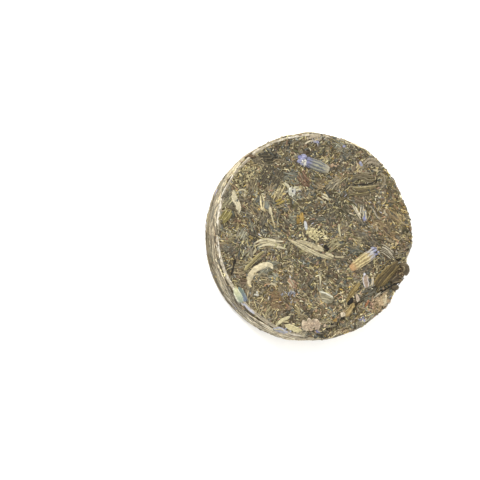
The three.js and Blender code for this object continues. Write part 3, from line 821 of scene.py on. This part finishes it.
def ribbon(
    batch,
    route,
    width,
    tint,
    seed,
    tip=None,
    edge=None,
    place=on_face,
    low=None,
    tone=1.0,
    thick=RIBBON_THICKNESS,
    lift=0.06,
    dome=0.08,
    curl=0.0,
    taper=0.0,
    depth=0.045,
    shade=0.28,
    crumple=0.08,
    ragged=0.3,
    blunt=2.6,
):
    """Adds a leaf, petal or stem along a route: a thin closed sheet, domed, ridged and crumpled. A higher
    blunt squares the ends, curl lifts the edges and taper narrows the far end."""
    length = smooth_route(route, 40)[2]
    rows = int(np.clip(length / ROW_PITCH, 7, 60))
    sides = int(np.clip(width / SIDE_PITCH, 8, 30)) // 2 * 2
    spots, turn, _ = smooth_route(route, rows + 2)
    ring = 2 * math.pi * (np.arange(sides) + 0.5) / sides
    across = np.sign(np.cos(ring)) * np.abs(np.cos(ring)) ** 0.7
    upper = np.sign(np.sin(ring)) * np.abs(np.sin(ring)) ** 0.6
    u, v = np.meshgrid(np.linspace(0, 1, rows + 2)[1:-1], across, indexing="ij")
    mark = seed * 3.7
    run = u * length
    torn_at = np.stack([run, np.sign(v) * 4, np.full_like(u, mark)], -1)
    torn = layered(torn_at, TORN_EDGE, 71)
    outline = np.clip(1 - np.abs(2 * u - 1) ** blunt, 0, 1) ** 0.6 * (1 - taper * u)
    offset = v * np.maximum(width / 2 * outline * (1 + ragged * torn), LEAST_OFFSET)
    spot = np.stack([run, offset, np.full_like(u, mark)], -1)
    wrinkle = layered(spot, WRINKLES, 73)
    vein = noise(spot * [0.22, 1, 1], 0.3, 75) + 0.5 * noise(spot * [0.35, 1, 1], 0.16, 76)
    tuck = (np.abs(2 * u - 1) ** 6) * (lift + TIP_SINK)
    height = lift - tuck + dome * (1 - v**2) + curl * np.abs(v) ** 3 + crumple * wrinkle + depth * vein
    height = height + upper * thick / 2
    if low is None and place is on_face:
        low = beyond_break(*spots[len(spots) // 2]) > 0
    rings = place(*moved(spots[1:-1, :1], spots[1:-1, 1:], turn[1:-1, None], offset), height, low)
    ends = place(*spots[:: rows + 1].T, RIBBON_TIP, low)
    first, last, rim = linear(tint), linear(tip or tint), linear(edge or tint)
    colour = first + (last - first) * smoothstep(0.25, 0.8, u)[..., None]
    if edge:
        colour = colour + (rim - colour) * smoothstep(0.5, 0.95, np.abs(v))[..., None]
    speck = layered(spot, SPECKS, 77)
    # shade lightens the colour on the ridges of the vein relief and darkens it in its grooves: partly the
    # veins' own streaks, partly painted shade
    # the lower face of the ribbon gets painted shade
    level = tone * OPEN_SHARE * (1 + shade * vein + 0.3 * speck) * np.where(upper < 0, LOWER_PAINTED_SHADE, 1)
    # the ends, tucked under the skin, get painted shade
    end_tint = np.stack([first, last]) * tone * OPEN_SHARE * 0.8
    batch.add_one(rings, ends, colour * level[..., None], end_tint, run, offset, mark)


CALYX_RIBS = 9
CALYX_FLATNESS = 0.5
CALYX_ROWS = 40
CALYX_SIDES = 48
CALYX_SWELL = ([0, 0.05, 0.18, 0.5, 0.8, 0.94, 1], [0.4, 0.62, 0.82, 1, 0.96, 0.85, 0.62])


def calyx(batch, start, end, width, foot, rib, groove, mouth, seed):
    """Adds a pressed lavender calyx between two places on the face: a ribbed tube, wider at its mouth."""
    start, end = np.array(start, float), np.array(end, float)
    length = np.linalg.norm(end - start)
    heading = math.atan2(*(end - start)[::-1])
    share = np.linspace(0, 1, CALYX_ROWS + 2)[1:-1]
    u, around = np.meshgrid(share, 2 * math.pi * np.arange(CALYX_SIDES) / CALYX_SIDES, indexing="ij")
    swell = np.interp(u, *CALYX_SWELL)
    surface = np.stack([u * length, 1.6 * np.cos(around), 1.6 * np.sin(around) + seed * 5.3], -1)
    rough = layered(surface, CALYX_HAIR, 79)
    crest = np.cos(CALYX_RIBS * around + 1.3 * noise(surface, 1.2, 81))
    half = width / 2 * swell * (1 + 0.06 * crest + 0.09 * rough)
    offset = half * np.cos(around)
    height = half * np.sin(around) * CALYX_FLATNESS + 0.02 * width + 0.05 * width * np.sin(math.pi * u)
    middle = (start + end) / 2
    x, y = moved(*middle, heading, offset, (u - 0.5) * length)
    ends = on_face(*np.stack([start, end], -1), np.array([0.02, 0.12]) * width)
    pale, light, dark, far = (linear(code) for code in (foot, rib, groove, mouth))
    colour = dark + (light - dark) * smoothstep(-0.6, 0.9, crest + 0.8 * rough)[..., None]
    colour = pale + (colour - pale) * smoothstep(0.02, 0.3, u + 0.08 * rough)[..., None]
    colour = far + (colour - far) * (1 - smoothstep(0.72, 0.97, u + 0.12 * crest)[..., None])
    colour = colour * (1 + 0.25 * rough)[..., None] * OPEN_SHARE
    # the ends, tucked into the face, get painted shade
    end_tint = np.stack([pale, dark]) * 0.8 * OPEN_SHARE
    batch.add_one(on_face(x, y, height), ends, colour, end_tint, u * length, offset, seed)


# Pieces that can be told apart: the route over the face in mm, the width, the colour and the rest of
# the form, by the names that fray and ribbon have for it
TOLD_LIFT = 0.1
CHUNK = dict(edge="#7f7157", low=True, crumple=0.15, lines=2, line_tint="#918263")

PALE_PIECES = [
    # the crescent
    ([(-13.5, -10.3), (-13.3, -8.8), (-12.4, -7.3), (-10.9, -6.4), (-9.4, -6.1), (-8.6, -6.9)],
     1.25, "#cbbe9c", dict(tip="#d6caa8", dome=0.12, blunt=4, ragged=0.2)),
    # the split pale leaf, and the branching one that carries on from it
    ([(-12.6, -2.2), (-11.3, -1.5), (-9.7, -1.2), (-8, -1.5), (-6.4, -1.5)], 0.55, "#d2c8a8"),
    ([(-12.3, -2.6), (-10.8, -1.9), (-9, -1.8), (-6.6, -2.3)], 0.5, "#bcb291"),
    ([(-11.8, -2.8), (-9.6, -2.2), (-7.6, -2.6), (-5.8, -3)], 0.6, "#cfc5a4"),
    ([(-11.9, -2.9), (-12.3, -3.6), (-12.9, -4.3)], 0.55, "#b8ae8c"),
    ([(-5.5, -1.1), (-2.5, -2.5), (0.6, -4.1), (3.6, -4.9)], 0.8, "#c0b48e",
     dict(edge="#d2c8a6", strands=2, lines=2)),
    ([(-4.1, -1.2), (-2.4, -1.6), (-0.7, -2.2), (1.4, -3.3)], 0.75, "#bbae8a", dict(edge="#d6ccaa", lines=1)),
    ([(0.2, -2), (0.9, -2.4), (1.6, -3.4)], 0.6, "#cfc4a0"),
    ([(1.6, -3.7), (2.8, -3.9), (3.9, -4.4)], 0.6, "#c6ba98"),
    ([(3.6, -4.2), (5.2, -4.3), (6, -4)], 0.4, "#b3a785"),
    # the cream leaf by the left rim, with a hook at its top
    ([(-16.5, 8.2), (-16.2, 6.3), (-15.6, 5.2), (-15.4, 3.4)], 1.25, "#c9bf9f",
     dict(edge="#d6ccae", lines=2, line_tint="#dfd6b8")),
    ([(-15.9, 7.4), (-14.8, 8.3), (-13.6, 7.6)], 0.42, "#c8be9c"),
    ([(-14.3, 7.6), (-14.2, 6.9)], 0.5, "#b9af93"),
    # cream strip and the thin stem with a head
    ([(-11, 7.7), (-10.8, 6.2), (-10.7, 5), (-10.3, 3.9)], 0.6, "#cabd95", dict(strands=2)),
    ([(-9.3, 5.2), (-9.2, 4.4), (-8.9, 3.4)], 0.75, "#d3c8a4", dict(lift=0.14, dome=0.15)),
    ([(-9, 3.7), (-8.7, 2.6), (-8.1, 0.9)], 0.34, "#c8bc94"),
    ([(-7.6, 2.4), (-7.8, 1.6), (-8, 0.9)], 0.26, "#a99f7e"),
    # cream slivers
    ([(1.1, 8), (2, 7.5), (2.9, 6.7)], 0.6, "#cfc5a4", dict(strands=2)),
    ([(0.2, 7.4), (1.2, 6.9), (1.9, 6.3)], 0.35, "#b8ac88"),
    ([(-9.3, -9.8), (-8.6, -9.7), (-7.9, -10.1)], 0.55, "#b5aa8c"),
    # forked pale fibre on the right, with a thin curving line and a crumb beside it
    ([(7.4, 6.4), (8.5, 4.8), (9.4, 3.5)], 0.6, "#cfc5aa", dict(strands=2, lift=0.14)),
    ([(9.8, 6.4), (9.5, 5.1), (9.2, 4)], 0.6, "#beb7a2", dict(strands=2)),
    ([(11.1, 6.1), (12, 5.1), (12.6, 4), (13.8, 3.1)], 0.28, "#aaa088"),
    ([(14.2, 5.5), (14.4, 4.7), (14.9, 4)], 0.45, "#aea388"),
    # forked stem and cream leaf at the bottom
    ([(-8.2, -17.8), (-7, -16.7), (-5.2, -15.9)], 0.7, "#cec49b", dict(lift=0.25)),
    ([(-7.6, -16.9), (-6.8, -16.9), (-5.4, -17)], 0.4, "#b9ad86", dict(lift=0.2)),
    ([(-6.5, -17.5), (-5.2, -17.9), (-3.9, -18.4), (-2.8, -18.6)], 1.15, "#c9be92",
     dict(edge="#dbd1a8", lift=0.14)),
    # bright edge of the leaf fragment
    ([(0.5, -11), (1.9, -11.4), (3.5, -12.2)], 0.32, "#f0edd6", dict(lift=0.3, blunt=5)),
    # small slivers
    ([(-13.6, -4.6), (-12.9, -5), (-12.7, -5.8)], 0.35, "#b5ab8a"),
    ([(4.7, 2.4), (4.8, 1.1), (5.1, -0.4)], 0.45, "#cdc39c"),
    ([(6.7, 1.7), (7.5, 2.4)], 0.3, "#b8ab6c"),
    ([(6.2, -8.4), (7.6, -8.3)], 0.4, "#b0a368"),
    ([(10.1, -7.9), (11.2, -8.2)], 0.3, "#b3a472"),
    ([(0.4, -7), (0.8, -9), (0.7, -10.8)], 0.3, "#8f8774", dict(lines=2)),
    # pale line across the flaked layer
    ([(11.7, -12.4), (13.1, -11.3), (15.1, -10.1)], 0.28, "#c2b8a0", dict(lift=0.3, low=True)),
    ([(12.4, -11.9), (13.9, -11), (15, -10.5)], 0.2, "#a79d84", dict(lift=0.3, low=True)),
]

LEAF_PIECES = [
    # red-brown leaf under the grey-blue bud
    ([(-3.5, 12.4), (-2.6, 11), (-1, 9.6)], 1.9, "#65513f",
     dict(tip="#745946", strands=4, lift=0.03, lines=3, line_tint="#8a725c")),
    # golden flecks
    ([(-8.3, 5.8), (-7.3, 6.3), (-6.1, 6.8)], 0.8, "#a08c4c", dict(edge="#b4a468", strands=2)),
    ([(-3.3, 4.3), (-3.2, 3.2), (-3.1, 2)], 1.5, "#a98b49",
     dict(tip="#967b42", strands=4, lines=3, line_tint="#bea15f")),
    ([(-13.4, -0.6), (-12.5, -1.2)], 0.7, "#978350"),
    ([(10.8, 3), (11.8, 2.6)], 0.4, "#86693e"),
    ([(2.8, -16.6), (4.6, -16.5)], 0.7, "#9c7f4a", dict(low=False, strands=2)),
    # yellow-olive strips by the left rim
    ([(-18.8, 2), (-17.7, 3.3), (-16.7, 4.7)], 1.5, "#8f8450", dict(strands=3, lines=3, line_tint="#b9ad76")),
    # olive stem by the crescent, with a dark one beside it
    ([(-10.4, -3.4), (-12.4, -5.3), (-14.5, -7.4)], 0.85, "#988c60",
     dict(edge="#bdb184", lift=0.14, lines=1, line_tint="#6f6445")),
    ([(-10.2, -4.6), (-12, -6), (-13.6, -7.6)], 0.45, "#3e372a", dict(lift=0.02)),
    # brown flakes in the lower half
    ([(-9.4, -12.3), (-7.9, -12), (-6.5, -12.5)], 1.9, "#806a4d",
     dict(strands=5, lift=0.04, lines=3, line_tint="#a38b68")),
    ([(-9.6, -14), (-8, -13.5), (-6.3, -13.8)], 1.6, "#776249",
     dict(strands=4, lift=0.04, lines=2, line_tint="#94805f")),
    # big dark leaf along the break, with a lighter outline
    ([(12.3, -9.9), (13.3, -8.5), (15, -6.8), (17.1, -4.7)], 2.9, "#544830",
     dict(edge="#8f7c4f", taper=0.65, lift=0.14, low=False, lines=5, line_tint="#83724a", depth=0.07)),
    # striped leaf right of the straw-coloured bud
    ([(12.8, -2.2), (14.4, -2.8), (16.6, -4.5)], 1.9, "#625946",
     dict(strands=2, lines=8, line_tint="#c6bca4")),
    # olive stems at the lower right, with painted shade for the hole between them
    ([(9.1, -9), (8.1, -10.2), (6.9, -11.8), (6.1, -13.2)], 1, "#9b8858", dict(lines=2, line_tint="#7d6b43")),
    ([(7.7, -13), (7, -14.3), (5.8, -15.9)], 1.1, "#9c875a", dict(low=False, lines=2, line_tint="#b6a272")),
    ([(7.4, -12.1), (6.9, -12.9), (6.4, -13.6)], 0.85, "#1f1b14", dict(lift=0.2)),
    ([(5.1, -14.9), (5.5, -15.9)], 0.9, "#dccdb0", dict(lift=0.3, low=False, blunt=5)),
    # a near-black fleck of painted shade in a small gap
    ([(2.7, -17.3), (3.6, -17.2)], 0.5, "#241f17"),
    # leaf fragment and curled leaf near the bottom
    ([(0.7, -12), (2.1, -12.2), (3.5, -12.9)], 1.9, "#8b846c", dict(edge="#a8a187", lines=2)),
    ([(-0.9, -14.4), (0.2, -13.7), (1.3, -14.5), (0.9, -15.8), (-0.3, -16), (-0.8, -15.2)], 0.7, "#6d6047"),
    # leaf strips at the upper right with painted shade for the gap between them
    ([(7.4, 11.4), (9.3, 11.7), (11.2, 11.3), (12.6, 11.7)], 1.2, "#6a604a",
     dict(edge="#8b8167", strands=2, lines=1, line_tint="#a79c7e")),
    ([(7, 9), (8.8, 8.7), (11.2, 9), (13.2, 9.6)], 1.5, "#665b44",
     dict(edge="#84795a", strands=3, lines=2, line_tint="#93875f")),
    ([(7.1, 9.7), (9, 9.6), (11.2, 9.9), (13, 10.2)], 0.32, "#aa9d76", dict(lift=0.14)),
    ([(7.6, 10.2), (9.8, 10.2), (11.7, 10.6), (13.2, 11.6)], 0.27, "#2a241a", dict(lift=0.12)),
    ([(12.9, 9.2), (14.2, 10.3), (14.4, 11.8), (13.4, 12.8)], 0.5, "#8b8069"),
    ([(9.2, 12.7), (10.8, 12.5), (12.2, 12.7)], 0.3, "#9a8f73"),
    # pale curl at the upper right, and the dark red spot below it
    ([(10, 14.2), (11.4, 15.1), (12.8, 14.6), (13.2, 13.6)], 1, "#9b907a", dict(strands=2)),
    ([(8.6, 12.4), (9.7, 12.2)], 0.7, "#51382a", dict(lift=0.02)),
    # painted shade for the hole beside the branching leaf and for the slit at the lower left
    ([(1.3, -2), (2, -2.5), (2.7, -3)], 1, "#1f1b14", dict(lift=0.06)),
    ([(-16, -4.5), (-16.4, -6.3), (-16.9, -8.3)], 0.4, "#221d15"),
    # chunks on the flaked layer
    ([(17.5, -5.2), (18.5, -5.6), (18.8, -6.6), (18, -7.2)], 1.1, "#5c513e",
     dict(CHUNK, edge="#84765b", lift=0.5, thick=0.6, lines=1, line_tint="#a39574")),
    ([(15, -9.2), (16.2, -8.3), (17.5, -7.5)], 1.5, "#564b3a",
     dict(CHUNK, lift=0.45, thick=0.5, strands=2)),
    ([(16, -10.3), (17.2, -9.3)], 1.1, "#564b3a",
     dict(CHUNK, lift=0.4, thick=0.5)),
    ([(12.3, -13.4), (13.8, -12.6), (15.6, -11.2)], 1.6, "#b09b7c",
     dict(CHUNK, edge="#c4b390", lift=0.12, thick=0.25, strands=4, lines=3, line_tint="#cfbb90")),
    ([(14.5, -11.4), (14.5, -12.5), (13.9, -13.4)], 0.9, "#d6c8a6",
     dict(lift=0.3, thick=0.3, low=True, strands=2)),
    ([(11.2, -12.3), (10.8, -13.1), (10.3, -13.9)], 0.4, "#a5724e", dict(lift=0.2, low=True)),
    # dark streaky leaves in the upper half
    ([(5, 6.3), (6.2, 4.8), (7.4, 3.2)], 2, "#57523f",
     dict(strands=5, lift=0.04, lines=3, line_tint="#7f7660")),
    ([(-8.8, 13.9), (-9.5, 11.8), (-11, 8.6)], 2.8, "#564f3f",
     dict(strands=5, lift=0.02, lines=3, line_tint="#6c644f")),
    ([(-6.6, 12.6), (-7.4, 10.8), (-8.9, 8.6)], 1.8, "#564f3f",
     dict(strands=3, lift=0.02, lines=2, line_tint="#6f6752")),
    ([(-12.8, 13.6), (-10.4, 14.6), (-7.6, 14.6)], 2.2, "#423d30",
     dict(strands=4, lift=0.04, lines=3, line_tint="#6f6650")),
]

PETALS = [
    # corolla of the grey-blue bud
    ([(-1.9, 14.6), (-2.8, 14.9), (-3.6, 15.3)], 0.9, "#9596b8", dict(tip="#8486ae", lift=0.2)),
    ([(-1.7, 14.9), (-2.2, 15.3), (-2.8, 15.6)], 0.7, "#a6a7c4", dict(lift=0.24, crumple=0.15)),
    ([(-2.1, 14.1), (-2.7, 13.9), (-3.1, 13.5)], 0.8, "#a4a5bc", dict(tip="#b9bac9", lift=0.18)),
    ([(-1.9, 14.6), (-2.1, 14), (-2.5, 13.4)], 0.5, "#d9d6c8", dict(lift=0.34)),
    # tip of the straw-coloured bud
    ([(10.8, -3.6), (11.7, -3), (12.5, -2.6)], 0.5, "#cccbc8", dict(tip="#9a9dbc", lift=0.5)),
    ([(10.6, -3.1), (11.4, -2.6), (12.1, -2.1)], 0.42, "#c6bfb0", dict(tip="#a5a8c2", lift=0.4)),
    ([(11.2, -4.2), (12.1, -3.6), (12.8, -3.4)], 0.42, "#b9b4ac", dict(tip="#8d91ba", lift=0.4)),
    # white floret
    ([(-5.3, 9.1), (-5.1, 8.4), (-4.9, 7.6)], 0.8, "#cfccb8", dict(lift=0.16, curl=0.12)),
    ([(-4.5, 9), (-4.4, 8.3), (-4.6, 7.6)], 0.7, "#c5c3ba", dict(lift=0.16, curl=0.12)),
    ([(-5.2, 8.8), (-5.8, 9.5), (-6.4, 10)], 0.55, "#bdb79a"),
    ([(-4.6, 8.5), (-3.8, 8.9), (-3, 9.1)], 0.8, "#c2bb9c", dict(strands=2)),
    ([(-4.8, 8), (-4.6, 8.6)], 0.35, "#55565c", dict(lift=0.28)),
    # blue-grey petal beside the cream strip
    ([(-10.2, 6.4), (-9.8, 5.6), (-9.9, 4.5)], 1.2, "#6c6f64",
     dict(tip="#7a7c74", lift=0.04, lines=2, line_tint="#96967f")),
    # white tip
    ([(-2.2, 2.7), (-2.1, 1.8), (-1.9, 0.7)], 0.6, "#d4d4d4", dict(tip="#b9bcbc", lift=0.2)),
    # petals at the right
    ([(10, 5.4), (10.1, 4.1), (10, 2.8)], 0.95, "#989992", dict(tip="#8587ae", lines=2)),
    ([(9.3, 14.9), (9.4, 14.3), (9.8, 13.7)], 0.6, "#9799ac"),
    ([(5.6, 17.7), (6.3, 17.6)], 0.6, "#9c9bb8"),
    # petal at the top of the rim
    ([(-0.5, 18.3), (0.3, 18.3), (0.9, 18)], 0.55, "#a3a2ab", dict(tip="#9092ae")),
    ([(-2.2, 17.6), (-1.4, 18.2), (-0.2, 18.5)], 0.4, "#c6bba6", dict(lines=1)),
    ([(-1.9, 18.9), (-0.2, 19.4), (2, 19.2)], 0.8, "#b3a68f", dict(strands=3)),
    # pink petal and the small pale ones beside it
    ([(10.2, -7.4), (10.1, -8.8), (10.4, -10.3)], 1.35, "#a8947f", dict(edge="#d6d1d0", lift=0.16)),
    ([(10, -7.2), (9.8, -7.8)], 0.5, "#d9d8e0", dict(lift=0.24)),
    ([(11.5, -8), (11.6, -8.9), (11.4, -9.8)], 0.55, "#c0b398", dict(edge="#d2cebe", lift=0.14)),
    ([(8.1, -11.4), (8.5, -12.2), (8.4, -13)], 0.7, "#b8a690", dict(edge="#c9bba6")),
    # florets near the middle of the lower half
    ([(-5.6, -8.6), (-5.1, -9.6), (-4.6, -10.2)], 0.8, "#a88c72", dict(edge="#c4ae94", lines=2)),
    ([(-5.8, -9), (-5.2, -9.7)], 0.4, "#b58c62", dict(lift=0.14)),
    ([(-5.4, -8), (-5.1, -8.6)], 0.35, "#d2d0cc", dict(lift=0.16)),
    ([(-12.3, -11.6), (-11.3, -11.7)], 0.8, "#cfccbc", dict(strands=2)),
    # pink flake at the bottom, and the petal beside it
    ([(-3, -17.9), (-1.2, -17.4), (0.9, -17.5)], 2.2, "#c6b398",
     dict(tip="#bca992", edge="#d6c5aa", lift=0.16, blunt=4, ragged=0.45, depth=0.08, crumple=0.14,
          shade=0.4)),
    ([(-8.6, -18.2), (-7.2, -18.5), (-5.9, -19)], 0.9, "#a6a8b4", dict(tip="#b9b8ba", lift=0.14, lines=1)),
    # flower part that lies on the edge at the lower left
    ([(-16.2, -10.5), (-15.5, -11.8), (-14.6, -13.4)], 1.2, "#c3c49f",
     dict(tip="#a9b39c", edge="#d0d0b4", lift=0.2, dome=0.2, lines=2, line_tint="#e3e2ca")),
    ([(-15.5, -10.4), (-14.8, -11.6), (-14.1, -13.3)], 1.1, "#6f7d72",
     dict(tip="#7a8597", lift=0.16, dome=0.2, lines=2, line_tint="#93a092")),
    # blue-white lines on the ridge, and violet bits low on the wall
    ([(-14.5, -13.3), (-13.5, -14.4), (-12.2, -15.5)], 0.36, "#c3c3cc", dict(lift=0.16)),
    ([(-15.2, -12.9), (-14.2, -14)], 0.3, "#b9b9c6"),
    ([(65, 1.2), (66.6, 1)], 0.5, "#9c9bb4", dict(place=on_wall)),
    ([(60, 1.5), (62.2, 1.2)], 0.4, "#a5a4b6", dict(place=on_wall)),
    ([(77, 3.6), (79, 3)], 0.4, "#b9b8c4", dict(place=on_wall)),
    ([(53.5, 3.6), (55.2, 3.2)], 0.6, "#a8a7bc", dict(place=on_wall)),
    ([(69, 0.9), (71.5, 1.1)], 0.4, "#a9a8bb", dict(place=on_wall)),
]

CALYCES = [
    # foot, mouth, width, and the colours of the foot, the ribs, the grooves and the mouth
    ((2.9, 12.7), (-2.0, 14.4), 2.1, "#b6ae95", "#9f9d87", "#606269", "#7d80a0"),
    ((7.0, -6.6), (11.9, -3.2), 2.05, "#c39a6c", "#dac892", "#998760", "#bdbcc2"),
]


def told_apart(batches):
    """The pieces that can be told apart, each at its own place."""
    for kind, pieces in (("leaf_pieces", LEAF_PIECES), ("pale_pieces", PALE_PIECES), ("petals", PETALS)):
        for number, (route, width, tint, *rest) in enumerate(pieces):
            form = dict(lift=TOLD_LIFT)
            form.update(*rest)
            fray(batches[kind], route, width, tint, number + 1, **form)
    for number, form in enumerate(CALYCES):
        calyx(batches["buds"], *form, seed=number + 1)


# painted shadow: the colour of the dark ribbons laid in the crack
CRACK_SHADOW_TINT = "#26211a"
CRACK_SHADOW_OFFSET = 0.12  # out from the broken edge


def crack_shadows(batch):
    """Painted shadow as dark ribbons: along the foot of the break, and between the chunks on the flaked
    layer.
    """
    along = np.linspace(-0.93, 0.95, 60) * HALF_CHORD
    line = np.stack(moved(0.0, 0.0, CHIP_HEADING, along, break_line(along) + CRACK_SHADOW_OFFSET), -1)
    for first, last, width in ((0, 26, 0.26), (22, 44, 0.34), (41, 60, 0.4)):
        ribbon(batch, line[first:last], width, CRACK_SHADOW_TINT, low=True, lift=0.1, seed=first)
    route = [(17.6, -8.3), (16.6, -9.1), (15.4, -9.9), (14.2, -10.6), (13, -11.4)]
    ribbon(batch, route, 0.32, CRACK_SHADOW_TINT, low=True, lift=0.45, seed=70)


# Fibres along the upper edge and crumbs that stand out from it: how many, and the heading in
# degrees where most of them lie, with its spread
RIM_STRANDS = 40
STRAND_HEADING = (185, 42)
STRAND_REACH = 19.62
EDGE_CRUMBS = 240
CRUMB_HEADING = (35, 60)


def rim_strands(batch):
    """Long pale fibres along the upper edge, thickest on the left."""
    rng = np.random.default_rng(SEED + 300)
    for number in range(RIM_STRANDS):
        middle = rng.normal(*STRAND_HEADING) if number % 5 else rng.uniform(80, 180)
        angle = math.radians(min(middle, 255)) + rng.uniform(0.08, 0.3) * np.linspace(-1, 1, 6)
        reach = STRAND_REACH + rng.normal(0, 0.12) + rng.normal(0, 0.04, 6)
        route = np.stack([reach * np.cos(angle), reach * np.sin(angle)], -1)
        tint = RIM_TONES[rng.integers(len(RIM_TONES))]
        ribbon(batch, route, rng.uniform(0.2, 0.45), tint, tone=1.1, ragged=0.15, seed=number)


def edge_crumbs(batches):
    """Bits that stand out a little from the upper edge, so that it isn't smooth."""
    count = EDGE_CRUMBS
    for number, (name, palette, narrow) in enumerate(
        (("dark_leaf", DARK_LEAF, 1.0), ("mid_leaf", MID_LEAF, 1.0), ("pale_bits", PALE_BITS, 0.6))
    ):
        rng = np.random.default_rng(SEED + 400 + number)
        width = rng.uniform(0.2, 0.55, count) * narrow
        sizes = (rng.uniform(0.5, 1.4, count), width, np.full(count, 0.2))
        run = np.radians(rng.normal(*CRUMB_HEADING, count)) * RADIUS
        spots = (run, DISC_THICKNESS - rng.exponential(0.7, count))
        heading = rng.uniform(-0.7, 0.7, count)
        tint = picked_tints(rng, count, palette, 0.16) * 1.15
        bend = rng.normal(0, 0.5, count)
        lifts = rng.exponential(0.07, count)
        add_shreds(batches[name], rng, on_wall, spots, heading, sizes, tint, bend, lifts)


# Core

CORE_SIDES = 420
CORE_ROWS = (64, 32, 44)  # over the face, down the wall and in under the cake
CORE_SINK = 0.04
CORE_TINTS = ("#494435", "#675c46")
MOTTLE_SIZE = 2.4


def tea_core():
    """The crumpled body under the shreds: one tube from the middle of the face to that of the underside."""
    angle = -2 * math.pi * np.arange(CORE_SIDES) / CORE_SIDES
    inner, wall, foot = skin_stretches(angle)
    out, down, back = (np.arange(1, rows + 1)[:, None] / rows for rows in CORE_ROWS)
    reach = np.concatenate([inner * out, inner + wall * down, inner + wall + foot * back[:-1]])
    angle = np.broadcast_to(angle, reach.shape)
    bare = skin(angle, reach, 0.0)
    relief = layered(bare, CORE_RELIEF, SEED + 3) - CORE_SINK
    share = 0.5 + 0.5 * noise(bare, MOTTLE_SIZE, SEED + 5)[..., None]
    tint = (linear(CORE_TINTS[0]) * share + linear(CORE_TINTS[1]) * (1 - share)) * SHADED_SHARE
    face = bare[: CORE_ROWS[0]]
    tint[: CORE_ROWS[0]] *= region_tone(face[..., 0], face[..., 1])
    ends = np.array([[0, 0, face_height(0.0, 0.0)], [0, 0, 0]])
    batch = Batch("tea_core")
    batch.add_one(skin(angle, reach, relief), ends, tint, tint[[0, -1], 0], reach, angle, 0.0)
    return batch.make(core_material(), "pressed_leaf")


# Camera, floor and light


def stage_and_light():
    """A pale paper floor, an even sky and two soft lamps that face the cake."""
    floor = bpy.data.meshes.new("floor")
    corners = [(x * FLOOR_REACH, y * FLOOR_REACH, 0) for x, y in ((-1, -1), (1, -1), (1, 1), (-1, 1))]
    floor.from_pydata(corners, [], [(0, 1, 2, 3)])
    paper = Nodes("pale_floor")
    tooth = paper.noise(paper.place(), 900, detail=2)
    colour = paper.shade((*linear(FLOOR_COLOUR),), paper.spread(tooth, 0.99, 1.0))
    floor.materials.append(paper.finish(colour, 0.9, tooth, FLOOR_BUMP))
    board = put_in_scene("floor", floor)

    world = bpy.data.worlds.new("studio")
    bpy.context.scene.world = world
    world.use_nodes = True
    sky = world.node_tree.nodes["Background"]
    sky.inputs["Color"].default_value = SKY_COLOUR
    sky.inputs["Strength"].default_value = SKY_STRENGTH

    for name, (at, power, size) in LAMPS.items():
        lamp = bpy.data.lights.new(name, "AREA")
        lamp.energy = power
        lamp.size = size
        lamp.color = LAMP_COLOUR
        lit = put_in_scene(name, lamp)
        lit.location = at
        lit.rotation_euler = (-Vector(at)).to_track_quat("-Z", "Y").to_euler()


def across_and_up(back):
    """The picture's own right and up, for a view from that side, with +Y up in the picture."""
    right = Vector((0, 1, 0)).cross(back).normalized()
    return right, back.cross(right).normalized()


def add_camera():
    """Looks at the cake from the photo's angle, aimed so that the cake falls right of the middle."""
    lens = bpy.data.cameras.new("camera")
    lens.lens = VIEW_LENS
    lens.sensor_width = SENSOR_WIDTH
    lens.clip_start = CLIP_START
    middle = Vector((0, 0, DISC_THICKNESS / 2 * MM))
    level = Vector((math.cos(VIEW_HEADING), math.sin(VIEW_HEADING), 0))
    towards = level * math.sin(VIEW_LEAN) + Vector((0, 0, math.cos(VIEW_LEAN)))
    spot = middle + towards * VIEW_DISTANCE * MM
    right, up = across_and_up(towards)
    aside = (OUTLINE_CENTRE[0] - IMAGE_SIDE / 2) / PIXELS_PER_MM * MM
    above = (IMAGE_SIDE / 2 - OUTLINE_CENTRE[1]) / PIXELS_PER_MM * MM
    back = (spot - (middle - right * aside - up * above)).normalized()
    right, up = across_and_up(back)
    camera = put_in_scene("camera", lens)
    camera.matrix_world = Matrix.Translation(spot) @ Matrix((right, up, back)).transposed().to_4x4()
    bpy.context.scene.camera = camera
    bpy.context.scene.view_settings.view_transform = "Standard"


add_camera()
stage_and_light()
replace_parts(tea_core(), NODE)
batches = {kind: Batch(kind) for kind in KINDS}
scatter_shreds(batches)
split_leaves(batches["split_leaves"])
crumb_clusters(batches)
edge_crumbs(batches)
told_apart(batches)
rim_strands(batches["wall_fibres"])
crack_shadows(batches["leaf_pieces"])
for kind, (streak, smooth, rough, sheen, slot) in KINDS.items():
    batches[kind].make(shred_material(kind, streak, smooth, rough, sheen), slot)
